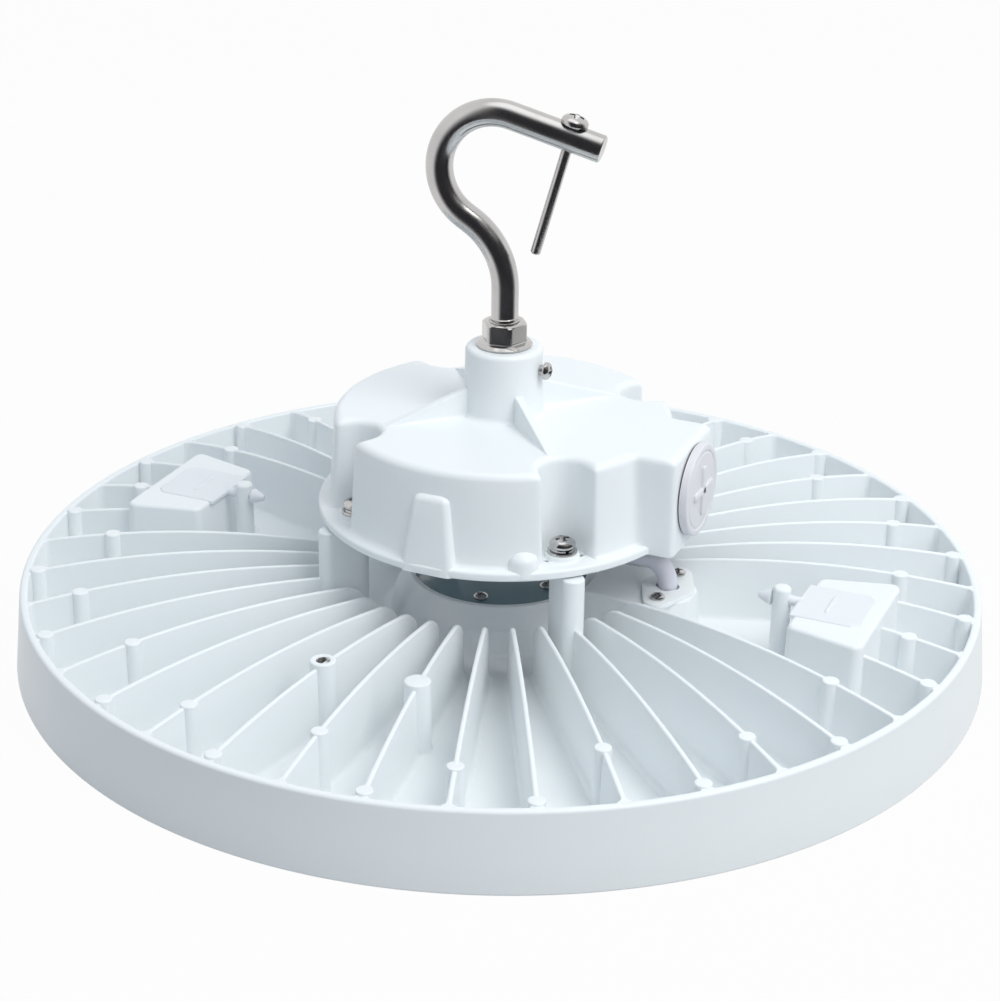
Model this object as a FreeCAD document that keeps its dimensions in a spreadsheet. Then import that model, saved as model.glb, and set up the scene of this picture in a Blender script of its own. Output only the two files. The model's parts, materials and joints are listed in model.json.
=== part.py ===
import FreeCAD, Part
import os
import re
import Sketcher

# High bay light: a finned round heat sink with LEDs and a lens underneath, and a driver housing
# that stands on four posts above it and hangs from a hook.
# Millimetres.  +Z is up and runs through the hook's stem, z = 0 is the bottom edge of the rim,
# and +X passes through one of the two selector boxes.

SIZES = {
    # Heat sink: rim, floor and hub
    "rim_height": 29.4,
    "rim_top_radius": 180.0,
    "rim_flare": 2.8,
    "rim_wall": 3.0,
    "floor_top": 11.4,
    "floor_thickness": 3.0,
    "hub_height": 17.0,
    "hub_ring_radius": 33.0,
    "hub_ring_lip": 2.0,
    "hub_foot_radius": 42.0,
    "hub_shoulder_radius": 40.0,
    "hub_shoulder_height": 9.0,
    "hub_recess_depth": 7.0,
    "hub_web": 4.0,
    # Fins
    "fin_pitch": 9.0,
    "fin_count": 17,
    "short_fin_count": 3,
    "fin_inner_radius": 57.5,
    "fin_base_width": 2.8,
    "fin_draft": 1.3,
    "fin_shoulder_radius": 67.5,
    "fin_shoulder_height": 23.6,
    "fin_tip_height": 14.0,
    "fin_crown_height": 25.4,
    "fin_crown_bow": 380.0,
    "fin_tip_round": 10.0,
    # Small bosses where the moulding pins push the casting out
    "pin_boss_radius": 3.0,
    "pin_near_inset": 30.0,
    "pin_far_inset": 22.0,
    "pin_rim_inset": 5.8,
    "pin_near_count": 10,
    "pin_far_count": 10,
    "pin_rim_count": 20,
    "pin_boss_slope": 0.15,
    # Tall bosses for a bracket
    "tall_boss_radius": 4.6,
    "tall_boss_circle": 114.0,
    "tall_boss_height": 26.6,
    "bracket_hole_radius": 2.5,
    "bracket_hole_depth": 12.0,
    # Posts under the driver housing
    "post_circle": 57.5,
    "post_radius": 4.4,
    "post_lobe_circle": 68.0,
    "post_lobe_radius": 4.1,
    "post_lobe_drop": 0.6,
    "post_web_half": 3.3,
    # Selector boxes
    "box_rim_gap": 31.4,
    "box_length": 30.6,
    "box_inner_half": 22.3,
    "box_outer_half": 29.5,
    "box_height": 26.8,
    "box_draft": 1.5,
    "box_corner": 4.0,
    "box_edge": 1.5,
    "cover_overhang": 2.0,
    "cover_length": 27.0,
    "cover_half": 13.5,
    "cover_corner": 3.0,
    "cover_thickness": 2.6,
    "cover_rise": 0.8,
    "cover_plug_depth": 6.0,
    "well_length": 20.0,
    "well_half": 9.5,
    "well_inset": 14.0,
    "well_depth": 20.0,
    "selector_board_thickness": 1.6,
    "selector_board_inset": 0.4,
    "selector_height": 7.0,
    "tether_post_gap": 7.4,
    "tether_post_radius": 3.3,
    "tether_post_height": 31.0,
    "tether_hole_radius": 2.3,
    "tether_level": 26.0,
    "tether_neck_radius": 1.9,
    "tether_tip_radius": 1.1,
    "tether_head_radius": 3.3,
    "tether_tip_reach": 8.8,
    # Lead entry between the driver and the LED board
    "entry_place": 67.0,
    "entry_plate_long_half": 25.5,
    "entry_plate_short_half": 10.6,
    "entry_plate_end_round": 5.0,
    "entry_plate_side_round": 8.0,
    "entry_plate_thickness": 1.6,
    "entry_boss_height": 20.6,
    "entry_boss_half": 18.6,
    "entry_boss_nose": 6.0,
    "entry_boss_reach": 11.2,
    "entry_boss_tail": 30.0,
    "entry_boss_tail_half": 14.0,
    "entry_boss_draft": 4.0,
    "entry_screw_half": 11.3,
    "entry_bore_radius": 8.0,
    "entry_seal_height": 4.0,
    # Lead
    "lead_radius": 3.6,
    "lead_exit_place": 40.0,
    "lead_exit_rise": 5.8,
    "lead_run_height": 44.0,
    "lead_end_height": 18.0,
    "lead_exit_bend": 7.4,
    "lead_entry_bend": 9.5,
    # LED side
    "led_board_inset": 20.0,
    "led_board_bore": 14.0,
    "led_board_thickness": 1.6,
    "led_side": 3.5,
    "led_height": 0.8,
    "led_ring_inset": 20.0,
    "led_ring_gap": 30.0,
    "led_count_one": 12,
    "led_count_two": 18,
    "led_count_three": 24,
    "led_count_four": 30,
    "lens_inset": 6.4,
    "lens_thickness": 2.4,
    "lens_level": 2.3,
    "lens_flange_width": 10.6,
    "lens_step": 1.2,
    "lens_seal_width": 4.6,
    "lens_screw_inset": 4.1,
    "lens_screw_count": 12,
    "lens_boss_radius": 3.6,
    "board_screw_count": 8,
    "board_screw_inset": 35.0,
    # Driver housing
    "deck_height": 54.6,
    "flange_radius": 68.7,
    "flange_thickness": 3.3,
    "can_foot_radius": 64.6,
    "can_top_radius": 62.0,
    "can_top_height": 92.4,
    "can_edge": 2.2,
    "can_roof": 3.4,
    "cavity_radius": 57.0,
    "tower_radius": 12.5,
    "tower_circle": 49.5,
    "notch_radius": 8.5,
    "notch_floor": 1.8,
    "wing_reach": 75.0,
    "wing_half": 20.4,
    "wing_cavity_reach": 70.5,
    "wing_cavity_half": 16.5,
    "wing_edge": 1.6,
    "rabbet_ledge": 2.0,
    "collar_foot_radius": 14.8,
    "collar_top_radius": 14.2,
    "collar_height": 25.5,
    "collar_edge": 1.8,
    "rod_bore_radius": 5.2,
    "rod_bore_depth": 23.0,
    "web_reach": 46.0,
    "web_height": 10.4,
    "web_width": 3.2,
    "ear_half": 10.2,
    "ear_height": 28.6,
    "ear_reach": 68.6,
    "ear_draft": 8.6,
    "ear_depth": 13.0,
    "ear_edge": 1.6,
    "lug_circle": 62.8,
    "lug_angle": 300.0,
    "lug_radius": 5.4,
    "lug_height": 7.4,
    # Parts inside and under the driver housing
    "deck_plate_thickness": 2.4,
    "deck_gasket_thickness": 0.8,
    "deck_screw_circle": 51.6,
    "deck_tower_radius": 4.2,
    "deck_tower_height": 12.0,
    "board_radius": 36.5,
    "board_thickness": 1.6,
    "standoff_height": 5.4,
    "standoff_radius": 3.2,
    "standoff_circle": 30.0,
    "grommet_wall": 2.0,
    "grommet_lip": 1.2,
    "grommet_lip_thickness": 1.0,
    "transformer_length": 30.0,
    "transformer_width": 24.0,
    "transformer_height": 19.0,
    "transformer_shift": 12.0,
    "capacitor_radius": 8.0,
    "capacitor_height": 21.0,
    "capacitor_place": 17.0,
    "capacitor_half": 11.0,
    "choke_ring": 4.2,
    "choke_coil": 2.1,
    "choke_place": 27.0,
    # Blanking plug on the end of the wing
    "plug_radius": 17.0,
    "plug_drop": 18.0,
    "plug_flange": 2.6,
    "plug_seal_thickness": 0.8,
    "plug_thread_radius": 14.0,
    "plug_thread_length": 8.0,
    "plug_rib_long": 19.0,
    "plug_rib_width": 3.0,
    "plug_rib_height": 1.0,
    # Hook, nut and keeper
    "rod_radius": 5.0,
    "hook_angle": 7.0,
    "stem_foot_rise": 3.6,
    "stem_top_rise": 47.0,
    "swan_bend": 29.2,
    "swan_turn": 56.8,
    "swan_straight": 2.8,
    "eye_bend": 21.0,
    "eye_turn": 162.2,
    "tip_length": 34.4,
    "keeper_from_tip": 12.2,
    "keeper_length": 50.0,
    "keeper_radius": 1.9,
    "keeper_head": 4.9,
    "keeper_head_height": 3.2,
    "nut_flange_radius": 10.3,
    "nut_flange_height": 1.6,
    "nut_height": 9.4,
    "nut_across_flats": 14.9,
    "set_screw_rise": 17.8,
    "set_screw_length": 11.2,
    # Screws, by thread
    "screw_play": 0.2,
    "three_radius": 1.45,
    "three_head": 2.8,
    "three_head_height": 1.9,
    "four_radius": 1.95,
    "four_head": 3.9,
    "four_head_height": 2.5,
    "five_radius": 2.45,
    "five_head": 4.75,
    "five_head_height": 3.2,
    "hub_screw_circle": 19.0,
    "hub_cover_thickness": 2.0,
    "washer_radius": 5.4,
    "washer_thickness": 1.0,
    "spring_washer_radius": 4.6,
    "spring_washer_thickness": 1.2,
    # Fit between pieces
    "slip": 0.2,
}

# Places that go with a bigger size, in the same sheet
FOLLOWING = {
    "pin_boss_near": "rim_top_radius - pin_near_inset",
    "pin_boss_far": "rim_top_radius - pin_far_inset",
    "pin_boss_rim": "rim_top_radius - pin_rim_inset",
    "box_outer": "rim_top_radius - box_rim_gap",
    "box_inner": "box_outer - box_length",
    "cover_inner": "box_inner - cover_overhang",
    "cover_outer": "cover_inner + cover_length",
    "well_middle": "box_inner + well_inset",
    "tether_post_place": "box_inner - tether_post_gap",
    "tether_tip_place": "tether_post_place - tether_tip_reach",
    "led_board_radius": "rim_top_radius - led_board_inset",
    "led_ring_four": "led_board_radius - led_ring_inset",
    "led_ring_three": "led_ring_four - led_ring_gap",
    "led_ring_two": "led_ring_three - led_ring_gap",
    "led_ring_one": "led_ring_two - led_ring_gap",
    "lens_radius": "rim_top_radius - lens_inset",
    "lens_step_radius": "lens_radius - lens_flange_width",
    "lens_screw_circle": "lens_radius - lens_screw_inset",
    "board_screw_circle": "led_board_radius - board_screw_inset",
    "plug_level": "can_top_height - plug_drop",
    "stem_foot": "can_top_height + stem_foot_rise",
    "stem_top": "can_top_height + stem_top_rise",
    "set_screw_level": "can_top_height + set_screw_rise",
    "lead_exit_height": "deck_height + lead_exit_rise",
}

doc = FreeCAD.newDocument("HighBayLight")
sheet = doc.addObject("Spreadsheet::Sheet", "Sizes")
CELLS = list(SIZES.items()) + [(alias, "=" + text) for alias, text in FOLLOWING.items()]
for row, (alias, value) in enumerate(CELLS, start=1):
    sheet.setAlias("B%d" % row, alias)
    sheet.set("A%d" % row, alias)
    sheet.set("B%d" % row, str(value))
doc.recompute()

PARTS = []
ORIGIN = FreeCAD.Vector(0, 0, 0)
UP = FreeCAD.Vector(0, 0, 1)


# ---------------------------------------------------------------- helpers

def formula(text):
    """Turn a formula in size names into one that reads the sheet."""
    return re.sub(r"[a-z]+(?:_[a-z]+)+|slip", lambda found: "Sizes." + found.group(0), text)


def number(text):
    """Value of a formula now, for the first shape of a sketch."""
    return float(sheet.evalExpression(formula(text)))


def tie(item, prop, text):
    item.setExpression(prop, formula(text))


def part(item, label):
    """Name a finished sub-part, which is then written to a file of that name."""
    item.Label = label
    PARTS.append(item)
    return item


def form(name):
    """Body that becomes part of a sub-part."""
    return doc.addObject("PartDesign::Body", name)


def new_body(label):
    """Body that is a sub-part by itself."""
    return part(form(label), label)


def new_sketch(body, name, role="XY_Plane", lift=None, turn=None):
    """Sketch on an origin plane of its body, lifted and turned by formulas."""
    sketch = body.newObject("Sketcher::SketchObject", name)
    plane = next(item for item in body.Origin.OriginFeatures if item.Role == role)
    sketch.AttachmentSupport = (plane, [""])
    sketch.MapMode = "FlatFace"
    if lift:
        tie(sketch, ".AttachmentOffset.Base.z", lift)
    if turn:
        axis, angle = turn
        sketch.AttachmentOffset = FreeCAD.Placement(ORIGIN, FreeCAD.Rotation(axis, 1.0))
        tie(sketch, ".AttachmentOffset.Rotation.Angle", angle)
    return sketch


def pin(sketch, index, end, x, y):
    """Hold one point of a sketch at a place given by formulas."""
    for kind, text, axis in (("DistanceX", x, -2), ("DistanceY", y, -1)):
        if text == "0":
            sketch.addConstraint(Sketcher.Constraint("PointOnObject", index, end, axis))
        else:
            held = sketch.addConstraint(Sketcher.Constraint(kind, -1, 1, index, end, number(text)))
            sketch.setExpression("Constraints[%d]" % held, formula(text))


def arc_through(here, bulge, there):
    """Arc through three points, running anticlockwise as a sketch keeps it."""
    through = Part.Circle(here, bulge, there)
    ring = Part.Circle(through.Center, UP, through.Radius)
    ends = [ring.parameter(here), ring.parameter(there)]
    if (bulge - here).cross(there - bulge).z < 0:
        ends.reverse()
    return Part.ArcOfCircle(ring, *ends)


def trace(sketch, corners, arcs, closed):
    """Line through corners; arcs gives the bulge and radius of a bent side by its number.

    The bulge is a point near the middle of the arc, as formulas, and only picks its side.
    """
    spots = [FreeCAD.Vector(number(x), number(y), 0) for x, y in corners]
    count = len(spots)
    sides = count if closed else count - 1
    for side in range(sides):
        here, there = spots[side], spots[(side + 1) % count]
        if side in arcs:
            bulge = FreeCAD.Vector(number(arcs[side][0]), number(arcs[side][1]), 0)
            sketch.addGeometry(arc_through(here, bulge, there))
        else:
            sketch.addGeometry(Part.LineSegment(here, there))

    def near(side, spot):
        """Which end of a side lies at spot: 1 its start, 2 its end."""
        shape = sketch.Geometry[side]
        first = shape.StartPoint.distanceToPoint(spot)
        return 1 if first < shape.EndPoint.distanceToPoint(spot) else 2

    for index, spot in enumerate(spots):
        before, after = index - 1, index
        if closed:
            before %= count
        after = min(after, sides - 1)
        if 0 <= before != after:
            sketch.addConstraint(Sketcher.Constraint(
                "Coincident", before, near(before, spot), after, near(after, spot)))
        pin(sketch, after, near(after, spot), *corners[index])
    for side, (_, _, radius) in arcs.items():
        held = sketch.addConstraint(Sketcher.Constraint("Radius", side, number(radius)))
        sketch.setExpression("Constraints[%d]" % held, formula(radius))


def outline(sketch, corners, arcs=None):
    """Closed outline through corners."""
    trace(sketch, corners, arcs or {}, True)


def run(sketch, corners, arcs):
    """Open path through corners."""
    trace(sketch, corners, arcs, False)


def circle(sketch, radius, x="0", y="0"):
    spot = FreeCAD.Vector(number(x), number(y), 0)
    index = sketch.addGeometry(Part.Circle(spot, UP, number(radius)))
    held = sketch.addConstraint(Sketcher.Constraint("Radius", index, number(radius)))
    sketch.setExpression("Constraints[%d]" % held, formula(radius))
    pin(sketch, index, 3, x, y)


def rectangle(sketch, left, right, bottom, top):
    outline(sketch, [(left, bottom), (right, bottom), (right, top), (left, top)])


def feature(body, kind, name, sketch):
    made = body.newObject("PartDesign::" + kind, name)
    made.Profile = (sketch, [""])
    sketch.Visibility = False
    return made


def pad(body, name, sketch, length, draft=None, middle=False, down=False):
    made = feature(body, "Pad", name, sketch)
    tie(made, "Length", length)
    if draft:
        tie(made, "TaperAngle", "-" + draft)
    if middle:
        made.SideType = "Symmetric"
    made.Reversed = down
    return made


def pocket(body, name, sketch, length, up=False):
    made = feature(body, "Pocket", name, sketch)
    tie(made, "Length", length)
    made.Reversed = up
    return made


def turned(body, name, sketch, kind="Revolution"):
    made = feature(body, kind, name, sketch)
    made.ReferenceAxis = (sketch, ["V_Axis"])
    made.Angle = 360
    return made


def ring_of(body, name, originals, count, angle="360"):
    """Polar pattern about Z of some features, or of the whole body so far where none is named."""
    made = body.newObject("PartDesign::PolarPattern", name)
    axis = next(item for item in body.Origin.OriginFeatures if item.Role == "Z_Axis")
    if originals:
        made.Originals = originals
    else:
        made.TransformMode = "Whole shape"
    made.Axis = (axis, [""])
    tie(made, "Angle", angle)
    tie(made, "Occurrences", count)
    body.Tip = made
    return made


def round_edges(body, name, base, radius, wanted):
    """Fillet the edges of a feature that a test of the edge picks."""
    doc.recompute()
    names = ["Edge%d" % (number_ + 1) for number_, edge in enumerate(base.Shape.Edges) if wanted(edge)]
    made = body.newObject("PartDesign::Fillet", name)
    made.Base = (base, names)
    tie(made, "Radius", radius)
    body.Tip = made
    return made


def is_upright(edge):
    """A straight edge that climbs more than it leans."""
    climb = abs(edge.Vertexes[-1].Z - edge.Vertexes[0].Z)
    return climb > 0.9 * edge.Length


def at_level(edge, level):
    return all(abs(vertex.Z - level) < 0.01 for vertex in edge.Vertexes)


def solid(kind, name, sizes, place=None):
    """Part primitive with its sizes and place given by formulas."""
    made = doc.addObject("Part::" + kind, name)
    for prop, text in sizes.items():
        tie(made, prop, text)
    for prop, text in zip(("x", "y", "z"), place or ("0", "0", "0")):
        if text != "0":
            tie(made, ".Placement.Base." + prop, text)
    return made


def cut(name, base, tool):
    made = doc.addObject("Part::Cut", name)
    made.Base = base
    made.Tool = tool
    return made


# ---------------------------------------------------------------- heat sink casting

RIM_TOP = "rim_height"
FIN_TOP = "floor_top + fin_crown_height"
DECK = "deck_height"
BOX_TOP = "floor_top + box_height"
HUB_TOP = "floor_top + hub_height"
RECESS_FLOOR = "floor_top + hub_height - hub_recess_depth"
ENTRY_TOP = "floor_top + entry_boss_height"
CAVITY_ROOF = "floor_top - floor_thickness"


def make_housing():
    """Heat sink casting in one piece: its forms joined, and what its cores and drills leave cut out."""
    block = doc.addObject("Part::MultiFuse", "CastingBlock")
    block.Shapes = [casting_shell(), casting_fins("LongFin", "fin_inner_radius", "2 * fin_pitch", "fin_count"),
                    casting_fins("ShortFin", "box_outer - 4", "-fin_pitch", "short_fin_count"),
                    casting_bosses(), casting_boxes()]
    part(cut("housing", block, casting_cores()), "housing")


def casting_shell():
    """Rim, floor and hub."""
    body = form("Shell")
    shell = new_sketch(body, "ShellProfile", "XZ_Plane")
    outline(shell, [
        ("0", RECESS_FLOOR),
        ("hub_ring_radius", RECESS_FLOOR),
        ("hub_ring_radius", HUB_TOP),
        ("hub_ring_radius + hub_ring_lip", HUB_TOP),
        ("hub_shoulder_radius", "floor_top + hub_shoulder_height"),
        ("hub_foot_radius", "floor_top"),
        ("rim_top_radius - rim_wall", "floor_top"),
        ("rim_top_radius - rim_wall", RIM_TOP),
        ("rim_top_radius", RIM_TOP),
        ("rim_top_radius + rim_flare", "0"),
        ("lens_radius + slip", "0"),
        ("lens_radius + slip", CAVITY_ROOF),
        ("hub_ring_radius", CAVITY_ROOF),
        ("hub_ring_radius", RECESS_FLOOR + " - hub_web"),
        ("0", RECESS_FLOOR + " - hub_web"),
    ])
    turned(body, "Rim", shell)
    return body


def casting_fins(name, inner, start, count):
    """Fins in two opposite groups, each tapered and cut to the crown that all their tops follow."""
    body = form(name + "s")
    plan = new_sketch(body, name + "Plan", "XY_Plane", "floor_top", (UP, start))
    rectangle(plan, inner, "rim_top_radius - rim_wall / 2", "-fin_base_width / 2", "fin_base_width / 2")
    pad(body, name, plan, "fin_crown_height + fin_tip_round", draft="fin_draft")
    crown = new_sketch(body, name + "CrownProfile", "XZ_Plane")
    above = "floor_top + fin_crown_height + fin_tip_round + 1"
    outline(crown, [
        ("fin_inner_radius - 2", "floor_top + fin_tip_height"),
        ("fin_inner_radius + 0.3", "floor_top + fin_tip_height"),
        ("fin_shoulder_radius", "floor_top + fin_shoulder_height"),
        ("rim_top_radius - rim_wall", RIM_TOP),
        ("rim_top_radius + 5", RIM_TOP),
        ("rim_top_radius + 5", above),
        ("fin_inner_radius - 2", above),
    ], arcs={
        1: ("fin_inner_radius + 3", "floor_top + fin_shoulder_height - 2.5", "fin_tip_round"),
        2: ("(fin_shoulder_radius + rim_top_radius) / 2", FIN_TOP, "fin_crown_bow"),
    })
    turned(body, name + "Crown", crown, "Groove")
    ring_of(body, name + "Row", [], count, "(%s - 1) * fin_pitch" % count)
    ring_of(body, name + "Sides", [], "2")
    return body


def casting_bosses():
    """Pin bosses, tall bosses, posts with their lobes, the lead's boss and the lens screws' bosses."""
    body = form("Bosses")

    def boss(name, radius, circle_radius, angle, height, count, foot="floor_top", down=False):
        plan = new_sketch(body, name + "Plan", "XY_Plane", foot, (UP, angle) if angle else None)
        circle(plan, radius, circle_radius)
        made = pad(body, name, plan, height, down=down)
        ring_of(body, name + "Ring", [made], count)

    for name, circle_radius, angle, count in (("FarPin", "pin_boss_far", None, "pin_far_count"),
                                              ("NearPin", "pin_boss_near", "2 * fin_pitch",
                                               "pin_near_count"),
                                              ("RimPin", "pin_boss_rim", "fin_pitch", "pin_rim_count")):
        boss(name, "pin_boss_radius", circle_radius, angle,
             "rim_height - floor_top + pin_boss_slope * (rim_top_radius - %s)" % circle_radius, count)
    boss("TallLeft", "tall_boss_radius", "tall_boss_circle", "90 - fin_pitch", "tall_boss_height", "2")
    boss("TallRight", "tall_boss_radius", "tall_boss_circle", "90 + fin_pitch", "tall_boss_height", "2")
    boss("Post", "post_radius", "post_circle", "45", "deck_height - floor_top", "4")
    lobe_height = "deck_height - floor_top - post_lobe_drop"
    boss("Lobe", "post_lobe_radius", "post_lobe_circle", "45", lobe_height, "4")
    web = new_sketch(body, "PostWebPlan", "XY_Plane", "floor_top", (UP, "45"))
    rectangle(web, "post_circle", "post_lobe_circle", "-post_web_half", "post_web_half")
    ring_of(body, "PostWebs", [pad(body, "PostWeb", web, lobe_height)], "4")
    boss("LensBoss", "lens_boss_radius", "lens_screw_circle", None,
         CAVITY_ROOF + " - lens_level - lens_thickness", "lens_screw_count", foot=CAVITY_ROOF, down=True)

    entry = new_sketch(body, "EntryPlan", "XY_Plane", "floor_top")
    outline(entry, [
        ("entry_place - entry_boss_tail", "-entry_boss_tail_half"),
        ("entry_place", "-entry_boss_half"),
        ("entry_place + entry_boss_reach", "-entry_boss_nose"),
        ("entry_place + entry_boss_reach", "entry_boss_nose"),
        ("entry_place", "entry_boss_half"),
        ("entry_place - entry_boss_tail", "entry_boss_tail_half"),
    ])
    pad(body, "EntryBoss", entry, "entry_boss_height", draft="entry_boss_draft")
    return body


def casting_boxes():
    """The two selector boxes, each with the post that its cover's tether goes through."""
    body = form("Boxes")
    box = new_sketch(body, "BoxPlan", "XY_Plane", "floor_top")
    outline(box, [
        ("box_inner", "-box_inner_half"),
        ("box_outer", "-box_outer_half"),
        ("box_outer", "box_outer_half"),
        ("box_inner", "box_inner_half"),
    ])
    block = pad(body, "Box", box, "box_height", draft="box_draft")
    corners = round_edges(body, "BoxCorners", block, "box_corner", is_upright)
    level = number(BOX_TOP)
    round_edges(body, "BoxEdge", corners, "box_edge", lambda edge: at_level(edge, level))
    post = new_sketch(body, "TetherPlan", "XY_Plane", "floor_top")
    circle(post, "tether_post_radius", "tether_post_place")
    pad(body, "TetherPost", post, "tether_post_height")
    ring_of(body, "BoxPair", [], "2")
    return body


def casting_cores():
    """Everything that is open in the casting: wells, the lead's bore, the tether holes, screw holes."""
    body = form("Cores")
    recess = new_sketch(body, "RecessPlan", "XY_Plane", BOX_TOP + " - cover_thickness")
    rectangle(recess, "cover_inner - slip", "cover_outer + slip", "-cover_half - slip", "cover_half + slip")
    pad(body, "Recess", recess, "cover_thickness + 1")
    well = new_sketch(body, "WellPlan", "XY_Plane", BOX_TOP + " - well_depth")
    rectangle(well, "well_middle - well_length / 2 - slip", "well_middle + well_length / 2 + slip",
              "-well_half - slip", "well_half + slip")
    pad(body, "Well", well, "well_depth")
    eye = new_sketch(body, "TetherHolePlan", "YZ_Plane", "tether_post_place - tether_post_radius - 1")
    circle(eye, "tether_hole_radius", "0", "floor_top + tether_level")
    pad(body, "TetherHole", eye, "tether_post_radius * 2 + 2")
    ring_of(body, "WellPair", [], "2")

    def bore(name, radius, circle_radius, angle, foot, top, count, aside="0"):
        plan = new_sketch(body, name + "Plan", "XY_Plane", foot, (UP, angle) if angle else None)
        circle(plan, radius, circle_radius, aside)
        drilled = pad(body, name, plan, "%s - (%s)" % (top, foot))
        if count:
            ring_of(body, name + "Ring", [drilled], count)

    bore("EntryBore", "entry_bore_radius", "entry_place", None, CAVITY_ROOF + " - 1", ENTRY_TOP + " + 1", None)
    hole = "three_radius + screw_play"
    bore("EntryHoleLeft", hole, "entry_place", None, ENTRY_TOP + " - 9", ENTRY_TOP + " + 1", None,
         "entry_screw_half")
    bore("EntryHoleRight", hole, "entry_place", None, ENTRY_TOP + " - 9", ENTRY_TOP + " + 1", None,
         "-entry_screw_half")
    bore("PostHole", "five_radius + screw_play", "post_circle", "45", DECK + " - 14", DECK + " + 1", "4")
    bore("HubHole", hole, "hub_screw_circle", None, RECESS_FLOOR + " - hub_web - 1", RECESS_FLOOR + " + 1",
         "4")
    tall_top = "floor_top + tall_boss_height"
    bore("BracketHole", "bracket_hole_radius", "tall_boss_circle", "90 - fin_pitch",
         tall_top + " - bracket_hole_depth", tall_top + " + 1", "2")
    bore("BoardHole", hole, "board_screw_circle", "fin_pitch * 2.5", CAVITY_ROOF + " - 1",
         "floor_top - 0.8", "board_screw_count")
    bore("LensHole", hole, "lens_screw_circle", None, "lens_level + lens_thickness - 1",
         "lens_level + lens_thickness + 6", "lens_screw_count")
    return body


# ---------------------------------------------------------------- driver housing casting

ROOF = "can_top_height - can_roof"
COLLAR_TOP = "can_top_height + collar_height"
FLANGE_TOP = "deck_height + flange_thickness"
RABBET_TOP = "deck_height + deck_plate_thickness + deck_gasket_thickness"
BOARD_LEVEL = "deck_height + deck_plate_thickness + standoff_height"
SEAT_TOP = "deck_height + flange_thickness + notch_floor"


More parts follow.
